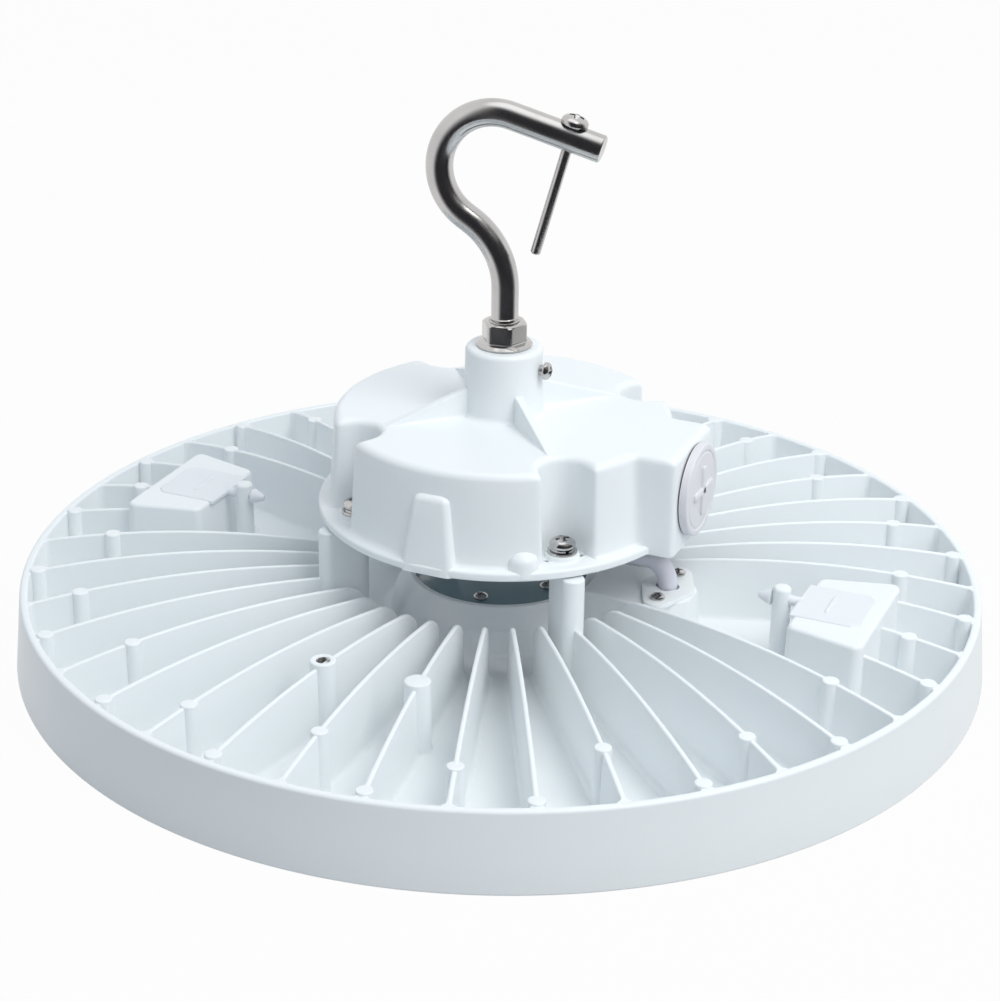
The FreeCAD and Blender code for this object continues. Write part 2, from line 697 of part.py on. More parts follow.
def make_driver_cover():
    """Driver housing casting: flange, can, wing for the plug, notches for the screws, hook collar."""
    body = new_body("driver_cover")

    # Wing towards the selector box, with its edges rounded
    wing = new_sketch(body, "WingPlan", "XY_Plane", DECK)
    rectangle(wing, "cavity_radius / 3", "wing_reach", "-wing_half", "wing_half")
    wing_pad = pad(body, "Wing", wing, "can_top_height - deck_height")
    top = number("can_top_height")
    round_edges(body, "WingEdges", wing_pad, "wing_edge", lambda edge: (
        is_upright(edge) and edge.CenterOfMass.x > top / 2) or at_level(edge, top))

    # Flange, can and collar, turned
    form = new_sketch(body, "CanProfile", "XZ_Plane")
    outline(form, [
        ("0", DECK),
        ("flange_radius", DECK),
        ("flange_radius", FLANGE_TOP),
        ("can_foot_radius", FLANGE_TOP),
        ("can_top_radius", "can_top_height - can_edge"),
        ("can_top_radius - can_edge", "can_top_height"),
        ("collar_foot_radius", "can_top_height"),
        ("collar_top_radius", COLLAR_TOP + " - collar_edge"),
        ("collar_top_radius - collar_edge", COLLAR_TOP),
        ("0", COLLAR_TOP),
    ], arcs={
        4: ("can_top_radius - can_edge * 0.3", "can_top_height - can_edge * 0.3", "can_edge"),
        7: ("collar_top_radius - collar_edge * 0.3", COLLAR_TOP + " - collar_edge * 0.3", "collar_edge"),
    })
    turned(body, "Can", form)

    # Ear on the front wall and lug on the flange
    ear = new_sketch(body, "EarPlan", "XY_Plane", DECK)
    rectangle(ear, "-ear_half", "ear_half", "-ear_reach", "ear_depth - ear_reach")
    pad(body, "Ear", ear, "ear_height", draft="ear_draft")
    lug = new_sketch(body, "LugPlan", "XY_Plane", DECK, (UP, "lug_angle"))
    circle(lug, "lug_radius", "lug_circle")
    pad(body, "Lug", lug, "flange_thickness + lug_height", draft="ear_draft")

    # Cavity of the can and the wing, with the rabbet of its bottom plate
    def hollow(name, level, depth, radius, reach, half):
        plan = new_sketch(body, name + "Plan", "XY_Plane", level)
        circle(plan, radius)
        pocket(body, name, plan, depth, up=True)
        arm = new_sketch(body, name + "ArmPlan", "XY_Plane", level)
        rectangle(arm, "0", reach, "-" + half, half)
        pocket(body, name + "Arm", arm, depth, up=True)

    hollow("Cavity", DECK, ROOF + " - deck_height", "cavity_radius", "wing_cavity_reach",
           "wing_cavity_half")
    hollow("Rabbet", DECK, RABBET_TOP + " - deck_height", "cavity_radius + rabbet_ledge",
           "wing_cavity_reach + rabbet_ledge", "(wing_cavity_half + rabbet_ledge)")

    # Towers round the notches, and towers for the screws of the bottom plate
    tower = new_sketch(body, "TowerPlan", "XY_Plane", DECK, (UP, "45"))
    circle(tower, "tower_radius", "tower_circle")
    tower_pad = pad(body, "Tower", tower, "can_top_height - deck_height - can_edge")
    ring_of(body, "Towers", [tower_pad], "4")
    column = new_sketch(body, "ColumnPlan", "XY_Plane", RABBET_TOP)
    circle(column, "deck_tower_radius", "deck_screw_circle")
    column_pad = pad(body, "Column", column, ROOF + " - (" + RABBET_TOP + ")")
    ring_of(body, "Columns", [column_pad], "4")

    # Notches that let the screws in from above
    notch = new_sketch(body, "NotchPlan", "XY_Plane", FLANGE_TOP, (UP, "45"))
    circle(notch, "notch_radius", "post_circle")
    notch_cut = pocket(body, "Notch", notch, "can_top_height - deck_height", up=True)
    mouth = new_sketch(body, "MouthPlan", "XY_Plane", FLANGE_TOP, (UP, "45"))
    rectangle(mouth, "post_circle", "post_circle + notch_radius * 2", "-notch_radius", "notch_radius")
    mouth_cut = pocket(body, "Mouth", mouth, "can_top_height - deck_height", up=True)
    ring_of(body, "Notches", [notch_cut, mouth_cut], "4")
    seat = new_sketch(body, "SeatPlan", "XY_Plane", FLANGE_TOP, (UP, "45"))
    circle(seat, "washer_radius + slip * 2", "post_circle")
    seat_pad = pad(body, "Seat", seat, "notch_floor")
    ring_of(body, "Seats", [seat_pad], "4")

    # Webs from the collar to the notches
    rib = new_sketch(body, "WebProfile", "XZ_Plane", None, (FreeCAD.Vector(0, 1, 0), "45"))
    outline(rib, [
        ("collar_top_radius - collar_edge", "can_top_height - can_roof / 2"),
        ("web_reach", "can_top_height - can_roof / 2"),
        ("web_reach", "can_top_height"),
        ("collar_foot_radius", "can_top_height + web_height"),
        ("collar_top_radius - collar_edge", "can_top_height + web_height"),
    ])
    rib_pad = pad(body, "Web", rib, "web_width", middle=True)
    ring_of(body, "Webs", [rib_pad], "4")

    # Holes: hook rod, its set screw, plug, post screws, bottom plate screws
    rod = new_sketch(body, "RodBorePlan", "XY_Plane", COLLAR_TOP)
    circle(rod, "rod_bore_radius")
    pocket(body, "RodBore", rod, "rod_bore_depth")
    grub = new_sketch(body, "SetHolePlan", "YZ_Plane")
    circle(grub, "four_radius + screw_play", "0", "set_screw_level")
    pocket(body, "SetHole", grub, "collar_foot_radius + 1", up=True)
    inlet = new_sketch(body, "InletPlan", "YZ_Plane", "wing_cavity_reach - 2")
    circle(inlet, "plug_thread_radius + slip", "0", "plug_level")
    pocket(body, "Inlet", inlet, "wing_reach - wing_cavity_reach + 4", up=True)
    hole = new_sketch(body, "PostScrewPlan", "XY_Plane", SEAT_TOP, (UP, "45"))
    circle(hole, "five_radius + screw_play", "post_circle")
    hole_cut = pocket(body, "PostScrewHole", hole, "flange_thickness + notch_floor + slip")
    ring_of(body, "PostScrewHoles", [hole_cut], "4")
    small = new_sketch(body, "DeckScrewPlan", "XY_Plane", RABBET_TOP)
    circle(small, "three_radius + screw_play", "deck_screw_circle")
    small_cut = pocket(body, "DeckScrewHole", small, "deck_tower_height", up=True)
    ring_of(body, "DeckScrewHoles", [small_cut], "4")
    return body


def deck_outline(body, name, level, thickness, margin):
    """Plate with the outline of the driver housing's opening, clear of its towers."""
    plan = new_sketch(body, name + "Plan", "XY_Plane", level)
    circle(plan, "cavity_radius + " + margin)
    pad(body, name, plan, thickness)
    arm = new_sketch(body, name + "ArmPlan", "XY_Plane", level)
    rectangle(arm, "cavity_radius / 2", "wing_cavity_reach + " + margin,
              "-(wing_cavity_half + %s)" % margin, "(wing_cavity_half + %s)" % margin)
    pad(body, name + "Arm", arm, thickness)
    gap = new_sketch(body, name + "GapPlan", "XY_Plane", level, (UP, "45"))
    circle(gap, "tower_radius + slip", "tower_circle")
    gap_cut = pocket(body, name + "Gap", gap, thickness, up=True)
    ring_of(body, name + "Gaps", [gap_cut], "4")


def make_deck_plate():
    """Plate that closes the driver housing, with standoffs for the board."""
    body = new_body("deck_plate")
    deck_outline(body, "Deck", DECK, "deck_plate_thickness", "(rabbet_ledge - slip)")
    stand = new_sketch(body, "StandPlan", "XY_Plane", DECK + " + deck_plate_thickness", (UP, "45"))
    circle(stand, "standoff_radius", "standoff_circle")
    stand_pad = pad(body, "Stand", stand, "standoff_height")
    ring_of(body, "Stands", [stand_pad], "4")
    hole = new_sketch(body, "DeckHolePlan", "XY_Plane", DECK)
    circle(hole, "three_radius + screw_play", "deck_screw_circle")
    hole_cut = pocket(body, "DeckHole", hole, "deck_plate_thickness", up=True)
    ring_of(body, "DeckHoles", [hole_cut], "4")
    thread = new_sketch(body, "StandHolePlan", "XY_Plane", BOARD_LEVEL, (UP, "45"))
    circle(thread, "three_radius + screw_play", "standoff_circle")
    thread_cut = pocket(body, "StandHole", thread, "standoff_height")
    ring_of(body, "StandHoles", [thread_cut], "4")
    leave = new_sketch(body, "LeadHolePlan", "XY_Plane", DECK)
    circle(leave, "lead_radius + grommet_wall", "lead_exit_place")
    pocket(body, "LeadHole", leave, "deck_plate_thickness", up=True)


def make_deck_gasket():
    """Flat seal between the bottom plate and the driver housing."""
    body = new_body("deck_gasket")
    level = DECK + " + deck_plate_thickness"
    deck_outline(body, "Seal", level, "deck_gasket_thickness", "(rabbet_ledge - slip)")
    inside = new_sketch(body, "SealInsidePlan", "XY_Plane", level)
    circle(inside, "cavity_radius - slip")
    pocket(body, "SealInside", inside, "deck_gasket_thickness", up=True)
    arm = new_sketch(body, "SealArmPlan", "XY_Plane", level)
    rectangle(arm, "0", "wing_cavity_reach - slip", "slip - wing_cavity_half", "wing_cavity_half - slip")
    pocket(body, "SealArm", arm, "deck_gasket_thickness", up=True)


# ---------------------------------------------------------------- turned and screwed pieces

def ring_piece(label, inner, outer, level, thickness, place="0", angle=None, count=None):
    """Washer or seal, or a polar group of them."""
    body = new_body(label)
    plan = new_sketch(body, label + "_plan", "XY_Plane", level, (UP, angle) if angle else None)
    circle(plan, outer, place)
    circle(plan, inner, place)
    made = pad(body, label + "_ring", plan, thickness)
    if count:
        ring_of(body, label + "_group", [made], count)
    return body


def screw_group(label, thread, place, level, length, count, angle=None, up="1"):
    """Group of equal pan-headed screws on a circle, heads at level and shanks away from them."""
    body = new_body(label)
    turn = (FreeCAD.Vector(0, 1, 0), angle) if angle else None
    sketch = new_sketch(body, label + "_profile", "XZ_Plane", None, turn)
    made = screw_profile(body, label + "_screw", sketch, thread, place, level, length, up)
    ring_of(body, label + "_group", [made], count)
    return body


def screw_profile(body, name, sketch, thread, place, level, length, up):
    """Turn one pan-headed screw about the upright line at place."""
    head = thread + "_head"
    rise = "%s_head_height * %s" % (thread, up)
    foot = "%s - %s * %s" % (level, length, up)
    outline(sketch, [
        (place, foot),
        ("%s + %s_radius" % (place, thread), foot),
        ("%s + %s_radius" % (place, thread), level),
        ("%s + %s" % (place, head), level),
        ("%s + %s" % (place, head), "%s + %s * 0.45" % (level, rise)),
        ("%s + %s * 0.62" % (place, head), "%s + %s" % (level, rise)),
        (place, "%s + %s" % (level, rise)),
    ])
    made = feature(body, "Revolution", name, sketch)
    made.ReferenceAxis = (sketch, ["Edge7"])
    made.Angle = 360
    return made


def single_screw(label, thread, length, head_level="0"):
    """One pan-headed screw along its own Z axis, placed by the caller."""
    body = new_body(label)
    sketch = new_sketch(body, label + "_profile", "XZ_Plane")
    screw_profile(body, label + "_screw", sketch, thread, "0", head_level, length, "1")
    return body


def place(item, x, y, z, yaw="0", pitch="0", roll="0"):
    """Placement from formulas, with turns about Z, Y and X in degrees."""
    text = ("create(<<placement>>; create(<<vector>>; %s; %s; %s); create(<<rotation>>; %s; %s; %s))"
            % (x, y, z, yaw, pitch, roll))
    tie(item, "Placement", text)


def make_driver_fixings():
    """Screws, spring washers and flat washers that hold the driver housing on its posts."""
    ring_piece("flat_washers", "five_radius + slip", "washer_radius", SEAT_TOP, "washer_thickness",
               "post_circle", "45", "4")
    ring_piece("spring_washers", "five_radius + slip", "spring_washer_radius",
               SEAT_TOP + " + washer_thickness", "spring_washer_thickness", "post_circle", "45", "4")
    screw_group("driver_screws", "five", "post_circle",
                SEAT_TOP + " + washer_thickness + spring_washer_thickness", "20", "4", "45")
    screw_group("deck_screws", "three", "deck_screw_circle", DECK, "10", "4", up="-1")


def make_driver_inside():
    """Driver board on its standoffs, with its larger components."""
    body = new_body("driver_board")
    plan = new_sketch(body, "BoardPlan", "XY_Plane", BOARD_LEVEL)
    circle(plan, "board_radius")
    pad(body, "Board", plan, "board_thickness")
    hole = new_sketch(body, "BoardHolePlan", "XY_Plane", BOARD_LEVEL, (UP, "45"))
    circle(hole, "three_radius + screw_play", "standoff_circle")
    hole_cut = pocket(body, "DriverBoardHole", hole, "board_thickness", up=True)
    ring_of(body, "DriverBoardHoles", [hole_cut], "4")
    top = BOARD_LEVEL + " + board_thickness"
    screw_group("driver_board_screws", "three", "standoff_circle", top, "6", "4", "45")
    part(solid("Box", "transformer", {
        "Length": "transformer_length", "Width": "transformer_width", "Height": "transformer_height",
    }, ("-transformer_shift - transformer_length / 2", "-transformer_width / 2", top)), "transformer")
    cans = [solid("Cylinder", "Can" + side, {"Radius": "capacitor_radius", "Height": "capacitor_height"},
                  ("capacitor_place", sign + "capacitor_half", top))
            for side, sign in (("Left", ""), ("Right", "-"))]
    group = part(doc.addObject("Part::Compound", "capacitors"), "capacitors")
    group.Links = cans
    part(solid("Torus", "choke", {"Radius1": "choke_ring", "Radius2": "choke_coil"},
               ("choke_place", "0", top + " + choke_coil")), "choke")


def make_plug():
    """Screw-in blanking plug on the end of the wing, with its seal."""
    plug = new_body("entry_plug")
    flange = new_sketch(plug, "PlugPlan")
    circle(flange, "plug_radius")
    pad(plug, "PlugFlange", flange, "plug_flange")
    thread = new_sketch(plug, "PlugThreadPlan")
    circle(thread, "plug_thread_radius")
    pad(plug, "PlugThread", thread, "plug_thread_length", down=True)
    for name, long_half, short_half in (("RibA", "plug_rib_long / 2", "plug_rib_width / 2"),
                                        ("RibB", "plug_rib_width / 2", "plug_rib_long / 2")):
        rib = new_sketch(plug, name + "Plan", "XY_Plane", "plug_flange")
        rectangle(rib, "-" + long_half, long_half, "-" + short_half, short_half)
        pad(plug, name, rib, "plug_rib_height")
    place(plug, "wing_reach + plug_seal_thickness", "0", "plug_level", pitch="90")
    seal = ring_piece("plug_seal", "plug_thread_radius + slip", "plug_radius - slip", "slip * 0",
                      "plug_seal_thickness")
    place(seal, "wing_reach", "0", "plug_level", pitch="90")


def make_hook():
    """Bent rod with its flanged nut, set screw and keeper screw."""
    lean = "swan_turn * 1deg"
    drop = "(eye_turn - swan_turn) * 1deg"
    bend_x = "-swan_bend * (1 - cos(%s))" % lean
    bend_z = "stem_top + swan_bend * sin(%s)" % lean
    eye_x = "%s - swan_straight * sin(%s)" % (bend_x, lean)
    eye_z = "%s + swan_straight * cos(%s)" % (bend_z, lean)
    fall_x = "%s + eye_bend * (cos(%s) - cos(%s))" % (eye_x, lean, drop)
    fall_z = "%s + eye_bend * (sin(%s) + sin(%s))" % (eye_z, lean, drop)
    tip_x = "%s + tip_length * sin(%s)" % (fall_x, drop)
    tip_z = "%s + tip_length * cos(%s)" % (fall_z, drop)

    body = form("BentRod")
    upright = (FreeCAD.Vector(0, 1, 0), "hook_angle")
    path = new_sketch(body, "HookPath", "XZ_Plane", None, upright)
    spots = [("0", "stem_foot"), ("0", "stem_top"), (bend_x, bend_z), (eye_x, eye_z),
             (fall_x, fall_z), (tip_x, tip_z)]
    half_lean = "swan_turn * 0.5deg"
    half_eye = "(swan_turn - eye_turn / 2) * 1deg"
    arcs = {
        1: ("-swan_bend * (1 - cos(%s))" % half_lean, "stem_top + swan_bend * sin(%s)" % half_lean,
            "swan_bend"),
        3: ("%s + eye_bend * (cos(%s) - cos(%s))" % (eye_x, lean, half_eye),
            "%s + eye_bend * (sin(%s) - sin(%s))" % (eye_z, lean, half_eye), "eye_bend"),
    }
    run(path, spots, arcs)
    ring = new_sketch(body, "RodSection", "XY_Plane", "stem_foot")
    circle(ring, "rod_radius")
    pipe = body.newObject("PartDesign::AdditivePipe", "Rod")
    pipe.Profile = (ring, [""])
    pipe.Spine = (path, ["Edge%d" % (side + 1) for side in range(len(spots) - 1)])
    reach = "(%s - keeper_from_tip * sin(%s))" % (tip_x, drop)
    level = "%s - keeper_from_tip * cos(%s)" % (tip_z, drop)
    spot = ("%s * cos(hook_angle * 1deg)" % reach, "%s * sin(hook_angle * 1deg)" % reach, level)
    tilt = "eye_turn - swan_turn - 90"
    hole = solid("Cylinder", "KeeperHole", {"Radius": "keeper_radius + screw_play",
                                            "Height": "rod_radius * 4"})
    place(hole, "%s - rod_radius * 2 * sin((%s) * 1deg) * cos(hook_angle * 1deg)" % (spot[0], tilt),
          "%s - rod_radius * 2 * sin((%s) * 1deg) * sin(hook_angle * 1deg)" % (spot[1], tilt),
          "%s - rod_radius * 2 * cos((%s) * 1deg)" % (spot[2], tilt), yaw="hook_angle", pitch=tilt)
    part(cut("hook", body, hole), "hook")

    nut = new_body("hook_nut")
    flange = new_sketch(nut, "NutFlangePlan", "XY_Plane", COLLAR_TOP)
    circle(flange, "nut_flange_radius")
    pad(nut, "NutFlange", flange, "nut_flange_height")
    hexagon = new_sketch(nut, "NutPlan", "XY_Plane", COLLAR_TOP, (UP, "hook_angle"))
    corner = "nut_across_flats / 2 / cos(30deg)"
    outline(hexagon, [("%s * cos(%d * 60deg)" % (corner, side), "%s * sin(%d * 60deg)" % (corner, side))
                      for side in range(6)])
    pad(nut, "Nut", hexagon, "nut_height")
    bore = new_sketch(nut, "NutBorePlan", "XY_Plane", COLLAR_TOP)
    circle(bore, "rod_radius + slip")
    pocket(nut, "NutBore", bore, "nut_height", up=True)

    grub = single_screw("hook_set_screw", "four", "set_screw_length")
    place(grub, "rod_radius + set_screw_length", "0", "set_screw_level", pitch="90")
    keeper = single_screw("keeper_screw", "keeper", "keeper_length", "rod_radius")
    place(keeper, *spot, yaw="hook_angle", pitch=tilt)


# ---------------------------------------------------------------- lead and its entry

def make_lead():
    """Lead from the driver to the LED board, with its grommet, plate, seal, screws and connector."""
    body = new_body("led_lead")
    path = new_sketch(body, "LeadPath", "XZ_Plane")
    run(path, [
        ("lead_exit_place", "lead_exit_height"),
        ("lead_exit_place", "lead_run_height + lead_exit_bend"),
        ("lead_exit_place + lead_exit_bend", "lead_run_height"),
        ("entry_place - lead_entry_bend", "lead_run_height"),
        ("entry_place", "lead_run_height - lead_entry_bend"),
        ("entry_place", "lead_end_height"),
    ], {
        1: ("lead_exit_place + lead_exit_bend * 0.3", "lead_run_height + lead_exit_bend * 0.3",
            "lead_exit_bend"),
        3: ("entry_place - lead_entry_bend * 0.3", "lead_run_height - lead_entry_bend * 0.3",
            "lead_entry_bend"),
    })
    section = new_sketch(body, "LeadSection", "XY_Plane", "lead_exit_height")
    circle(section, "lead_radius", "lead_exit_place")
    pipe = body.newObject("PartDesign::AdditivePipe", "Lead")
    pipe.Profile = (section, [""])
    pipe.Spine = (path, ["Edge%d" % side for side in range(1, 6)])

    grommet = new_body("lead_grommet")
    profile = new_sketch(grommet, "GrommetProfile", "XZ_Plane")
    inner = "lead_exit_place + lead_radius"
    neck = "lead_exit_place + lead_radius + grommet_wall"
    lip = neck + " + grommet_lip"
    plate_top = DECK + " + deck_plate_thickness"
    outline(profile, [
        (inner, DECK + " - grommet_lip_thickness"),
        (lip, DECK + " - grommet_lip_thickness"),
        (lip, DECK),
        (neck, DECK),
        (neck, plate_top),
        (lip, plate_top),
        (lip, plate_top + " + grommet_lip_thickness"),
        (inner, plate_top + " + grommet_lip_thickness"),
    ])
    axis_line = profile.addGeometry(Part.LineSegment(
        FreeCAD.Vector(number("lead_exit_place"), 0, 0), FreeCAD.Vector(number("lead_exit_place"), 30, 0)), True)
    pin(profile, axis_line, 1, "lead_exit_place", "0")
    pin(profile, axis_line, 2, "lead_exit_place", DECK)
    made = feature(grommet, "Revolution", "Grommet", profile)
    made.ReferenceAxis = (profile, ["Axis0"])
    made.Angle = 360

    plate = new_body("entry_plate")
    plan = new_sketch(plate, "EntryPlatePlan", "XY_Plane", ENTRY_TOP)
    outline(plan, [
        ("entry_place - entry_plate_short_half", "0"),
        ("entry_place", "-entry_plate_long_half"),
        ("entry_place + entry_plate_short_half", "0"),
        ("entry_place", "entry_plate_long_half"),
    ])
    base = pad(plate, "EntryPlate", plan, "entry_plate_thickness")
    middle = number("entry_place")
    ends = round_edges(plate, "EntryPlateEnds", base, "entry_plate_end_round",
                       lambda edge: is_upright(edge) and abs(edge.CenterOfMass.x - middle) < 0.1)
    round_edges(plate, "EntryPlateSides", ends, "entry_plate_side_round",
                lambda edge: is_upright(edge) and abs(edge.CenterOfMass.y) < 0.1)
    holes = new_sketch(plate, "EntryPlateHoles", "XY_Plane", ENTRY_TOP)
    circle(holes, "lead_radius + slip * 2", "entry_place")
    circle(holes, "three_radius + screw_play", "entry_place", "entry_screw_half")
    circle(holes, "three_radius + screw_play", "entry_place", "-entry_screw_half")
    pocket(plate, "EntryPlateBores", holes, "entry_plate_thickness", up=True)

    screws = new_body("entry_screws")
    profile = new_sketch(screws, "EntryScrewProfile", "XZ_Plane", "entry_screw_half")
    one = screw_profile(screws, "EntryScrew", profile, "three", "entry_place",
                        ENTRY_TOP + " + entry_plate_thickness", "8", "1")
    mirror = screws.newObject("PartDesign::Mirrored", "EntryScrewPair")
    mirror.Originals = [one]
    mirror.MirrorPlane = (next(item for item in screws.Origin.OriginFeatures
                               if item.Role == "XZ_Plane"), [""])
    screws.Tip = mirror

    ring_piece("entry_seal", "lead_radius", "entry_bore_radius", ENTRY_TOP + " - entry_seal_height",
               "entry_seal_height", "entry_place")
    part(solid("Box", "lead_plug", {
        "Length": "lead_radius * 3", "Width": "lead_radius * 2",
        "Height": "lead_end_height - (%s)" % CAVITY_ROOF,
    }, ("entry_place - lead_radius * 1.5", "-lead_radius", CAVITY_ROOF)), "lead_plug")


# ---------------------------------------------------------------- hub cover and selectors

def make_hub_cover():
    """Round cover in the hub's recess, with four screws."""
    body = new_body("hub_cover")
    plan = new_sketch(body, "HubCoverPlan", "XY_Plane", RECESS_FLOOR)
    circle(plan, "hub_ring_radius - slip")
    pad(body, "HubCover", plan, "hub_cover_thickness")
    hole = new_sketch(body, "HubCoverHolePlan", "XY_Plane", RECESS_FLOOR)
    circle(hole, "three_radius + screw_play", "hub_screw_circle")
    hole_cut = pocket(body, "HubCoverHole", hole, "hub_cover_thickness", up=True)
    ring_of(body, "HubCoverHoles", [hole_cut], "4")
    screw_group("hub_screws", "three", "hub_screw_circle", RECESS_FLOOR + " + hub_cover_thickness",
                "5", "4")


def make_selectors():
    """Selector switches in their boxes, each under a tethered silicone cover."""
    level = BOX_TOP + " - cover_thickness"
    tether = "floor_top + tether_level"
    for label, turn in (("selector_cover_front", "0"), ("selector_cover_back", "180")):
        body = new_body(label)
        plan = new_sketch(body, label + "_plan", "XY_Plane", level)
        outline(plan, [
            ("cover_inner", "-cover_half"),
            ("cover_outer - cover_corner", "-cover_half"),
            ("cover_outer", "cover_corner - cover_half"),
            ("cover_outer", "cover_half - cover_corner"),
            ("cover_outer - cover_corner", "cover_half"),
            ("cover_inner", "cover_half"),
        ])
        pad(body, label + "_lid", plan, "cover_thickness + cover_rise")
        stem = new_sketch(body, label + "_stem", "XY_Plane", level)
        rectangle(stem, "well_middle - well_length / 2", "well_middle + well_length / 2",
                  "-well_half", "well_half")
        pad(body, label + "_block", stem, "cover_plug_depth", down=True)
        tail = new_sketch(body, label + "_tail", "XZ_Plane")
        head = "tether_post_place - tether_post_radius - slip"
        outline(tail, [
            ("tether_tip_place", tether),
            ("cover_inner + 1", tether),
            ("cover_inner + 1", tether + " + tether_neck_radius"),
            (head, tether + " + tether_neck_radius"),
            (head, tether + " + tether_head_radius"),
            ("tether_tip_place", tether + " + tether_tip_radius"),
        ])
        made = feature(body, "Revolution", label + "_tether", tail)
        made.ReferenceAxis = (tail, ["Edge1"])
        made.Angle = 360
        place(body, "0", "0", "0", yaw=turn)

    floor = BOX_TOP + " - well_depth"
    boards = new_body("selector_boards")
    plan = new_sketch(boards, "SelectorBoardPlan", "XY_Plane", floor)
    half = "well_length / 2 - selector_board_inset"
    side = "well_half - selector_board_inset"
    rectangle(plan, "well_middle - (%s)" % half, "well_middle + %s" % half, "-(%s)" % side, side)
    board = pad(boards, "SelectorBoard", plan, "selector_board_thickness")
    ring_of(boards, "SelectorBoards", [board], "2")
    switches = new_body("selectors")
    plan = new_sketch(switches, "SelectorPlan", "XY_Plane", floor + " + selector_board_thickness")
    rectangle(plan, "well_middle - (%s) / 2" % half, "well_middle + (%s) / 2" % half,
              "-(%s) * 0.8" % side, "(%s) * 0.8" % side)
    switch = pad(switches, "Selector", plan, "selector_height")
    ring_of(switches, "Selectors", [switch], "2")


# ---------------------------------------------------------------- LED side

def make_led_side():
    """LED board with its packages and screws, and the lens with its seal and screws."""
    board_foot = CAVITY_ROOF + " - led_board_thickness"
    body = new_body("led_board")
    plan = new_sketch(body, "LedBoardPlan", "XY_Plane", board_foot)
    circle(plan, "led_board_radius")
    circle(plan, "led_board_bore")
    pad(body, "LedBoard", plan, "led_board_thickness")
    hole = new_sketch(body, "LedBoardHolePlan", "XY_Plane", board_foot, (UP, "fin_pitch * 2.5"))
    circle(hole, "three_radius + screw_play", "board_screw_circle")
    hole_cut = pocket(body, "LedBoardHole", hole, "led_board_thickness", up=True)
    ring_of(body, "LedBoardHoles", [hole_cut], "board_screw_count")
    screw_group("led_board_screws", "three", "board_screw_circle", board_foot, "3.6",
                "board_screw_count", "fin_pitch * 2.5", up="-1")

    leds = new_body("led_packages")
    for ring in ("one", "two", "three", "four"):
        plan = new_sketch(leds, "LedPlan_" + ring, "XY_Plane", board_foot)
        middle = "led_ring_" + ring
        rectangle(plan, middle + " - led_side / 2", middle + " + led_side / 2",
                  "-led_side / 2", "led_side / 2")
        led = pad(leds, "Led_" + ring, plan, "led_height", down=True)
        ring_of(leds, "Leds_" + ring, [led], "led_count_" + ring)

    lens = new_body("lens")
    profile = new_sketch(lens, "LensProfile", "XZ_Plane")
    outline(profile, [
        ("0", "lens_level - lens_step"),
        ("lens_step_radius - lens_step", "lens_level - lens_step"),
        ("lens_step_radius", "lens_level"),
        ("lens_radius", "lens_level"),
        ("lens_radius", "lens_level + lens_thickness"),
        ("lens_step_radius - lens_step * 2", "lens_level + lens_thickness"),
        ("lens_step_radius - lens_step * 3", "lens_level + lens_thickness - lens_step"),
        ("0", "lens_level + lens_thickness - lens_step"),
    ])
    turned(lens, "Lens", profile)
    hole = new_sketch(lens, "LensScrewPlan", "XY_Plane", "lens_level")
    circle(hole, "three_radius + screw_play", "lens_screw_circle")
    hole_cut = pocket(lens, "LensScrewHole", hole, "lens_thickness", up=True)
    ring_of(lens, "LensScrewHoles", [hole_cut], "lens_screw_count")
    seal_outer = "lens_screw_circle - lens_boss_radius - slip"
    ring_piece("lens_seal", seal_outer + " - lens_seal_width", seal_outer,
               "lens_level + lens_thickness", "%s - lens_level - lens_thickness" % CAVITY_ROOF)
    screw_group("lens_screws", "three", "lens_screw_circle", "lens_level", "8", "lens_screw_count",
                up="-1")


# ---------------------------------------------------------------- build, check and write

def check_and_write():
    """Recompute, stop on any failed object or solid, and write each sub-part to its own file."""
    doc.recompute()
    failed = [item.Name for item in doc.Objects if "Invalid" in item.State or "Error" in item.State]
    for item in PARTS:
        if item.Shape.isNull() or not item.Shape.isValid() or not item.Shape.Solids:
            failed.append(item.Label)
    if failed:
        raise SystemExit("failed: " + ", ".join(failed))
    os.makedirs("parts", exist_ok=True)
    for item in PARTS:
        item.Shape.exportStep("parts/%s.step" % item.Label)
        print("%-24s %3d solids  %10.1f mm3" % (item.Label, len(item.Shape.Solids), item.Shape.Volume))


make_housing()
make_driver_cover()
make_deck_plate()
make_deck_gasket()
make_driver_fixings()
make_driver_inside()
make_plug()
make_hook()
make_lead()
make_hub_cover()
make_selectors()
make_led_side()
check_and_write()
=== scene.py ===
"""High bay light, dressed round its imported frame.

A finned round heat sink with its LEDs and lens underneath, a driver housing on four posts above it,
and a hook.  Sizes in the classes are millimetres; meshes are made in metres.
"""

import json
import logging
import math
from dataclasses import dataclass, field
from enum import Enum
from typing import Callable

import bmesh
import bpy
from mathutils import Matrix, Vector

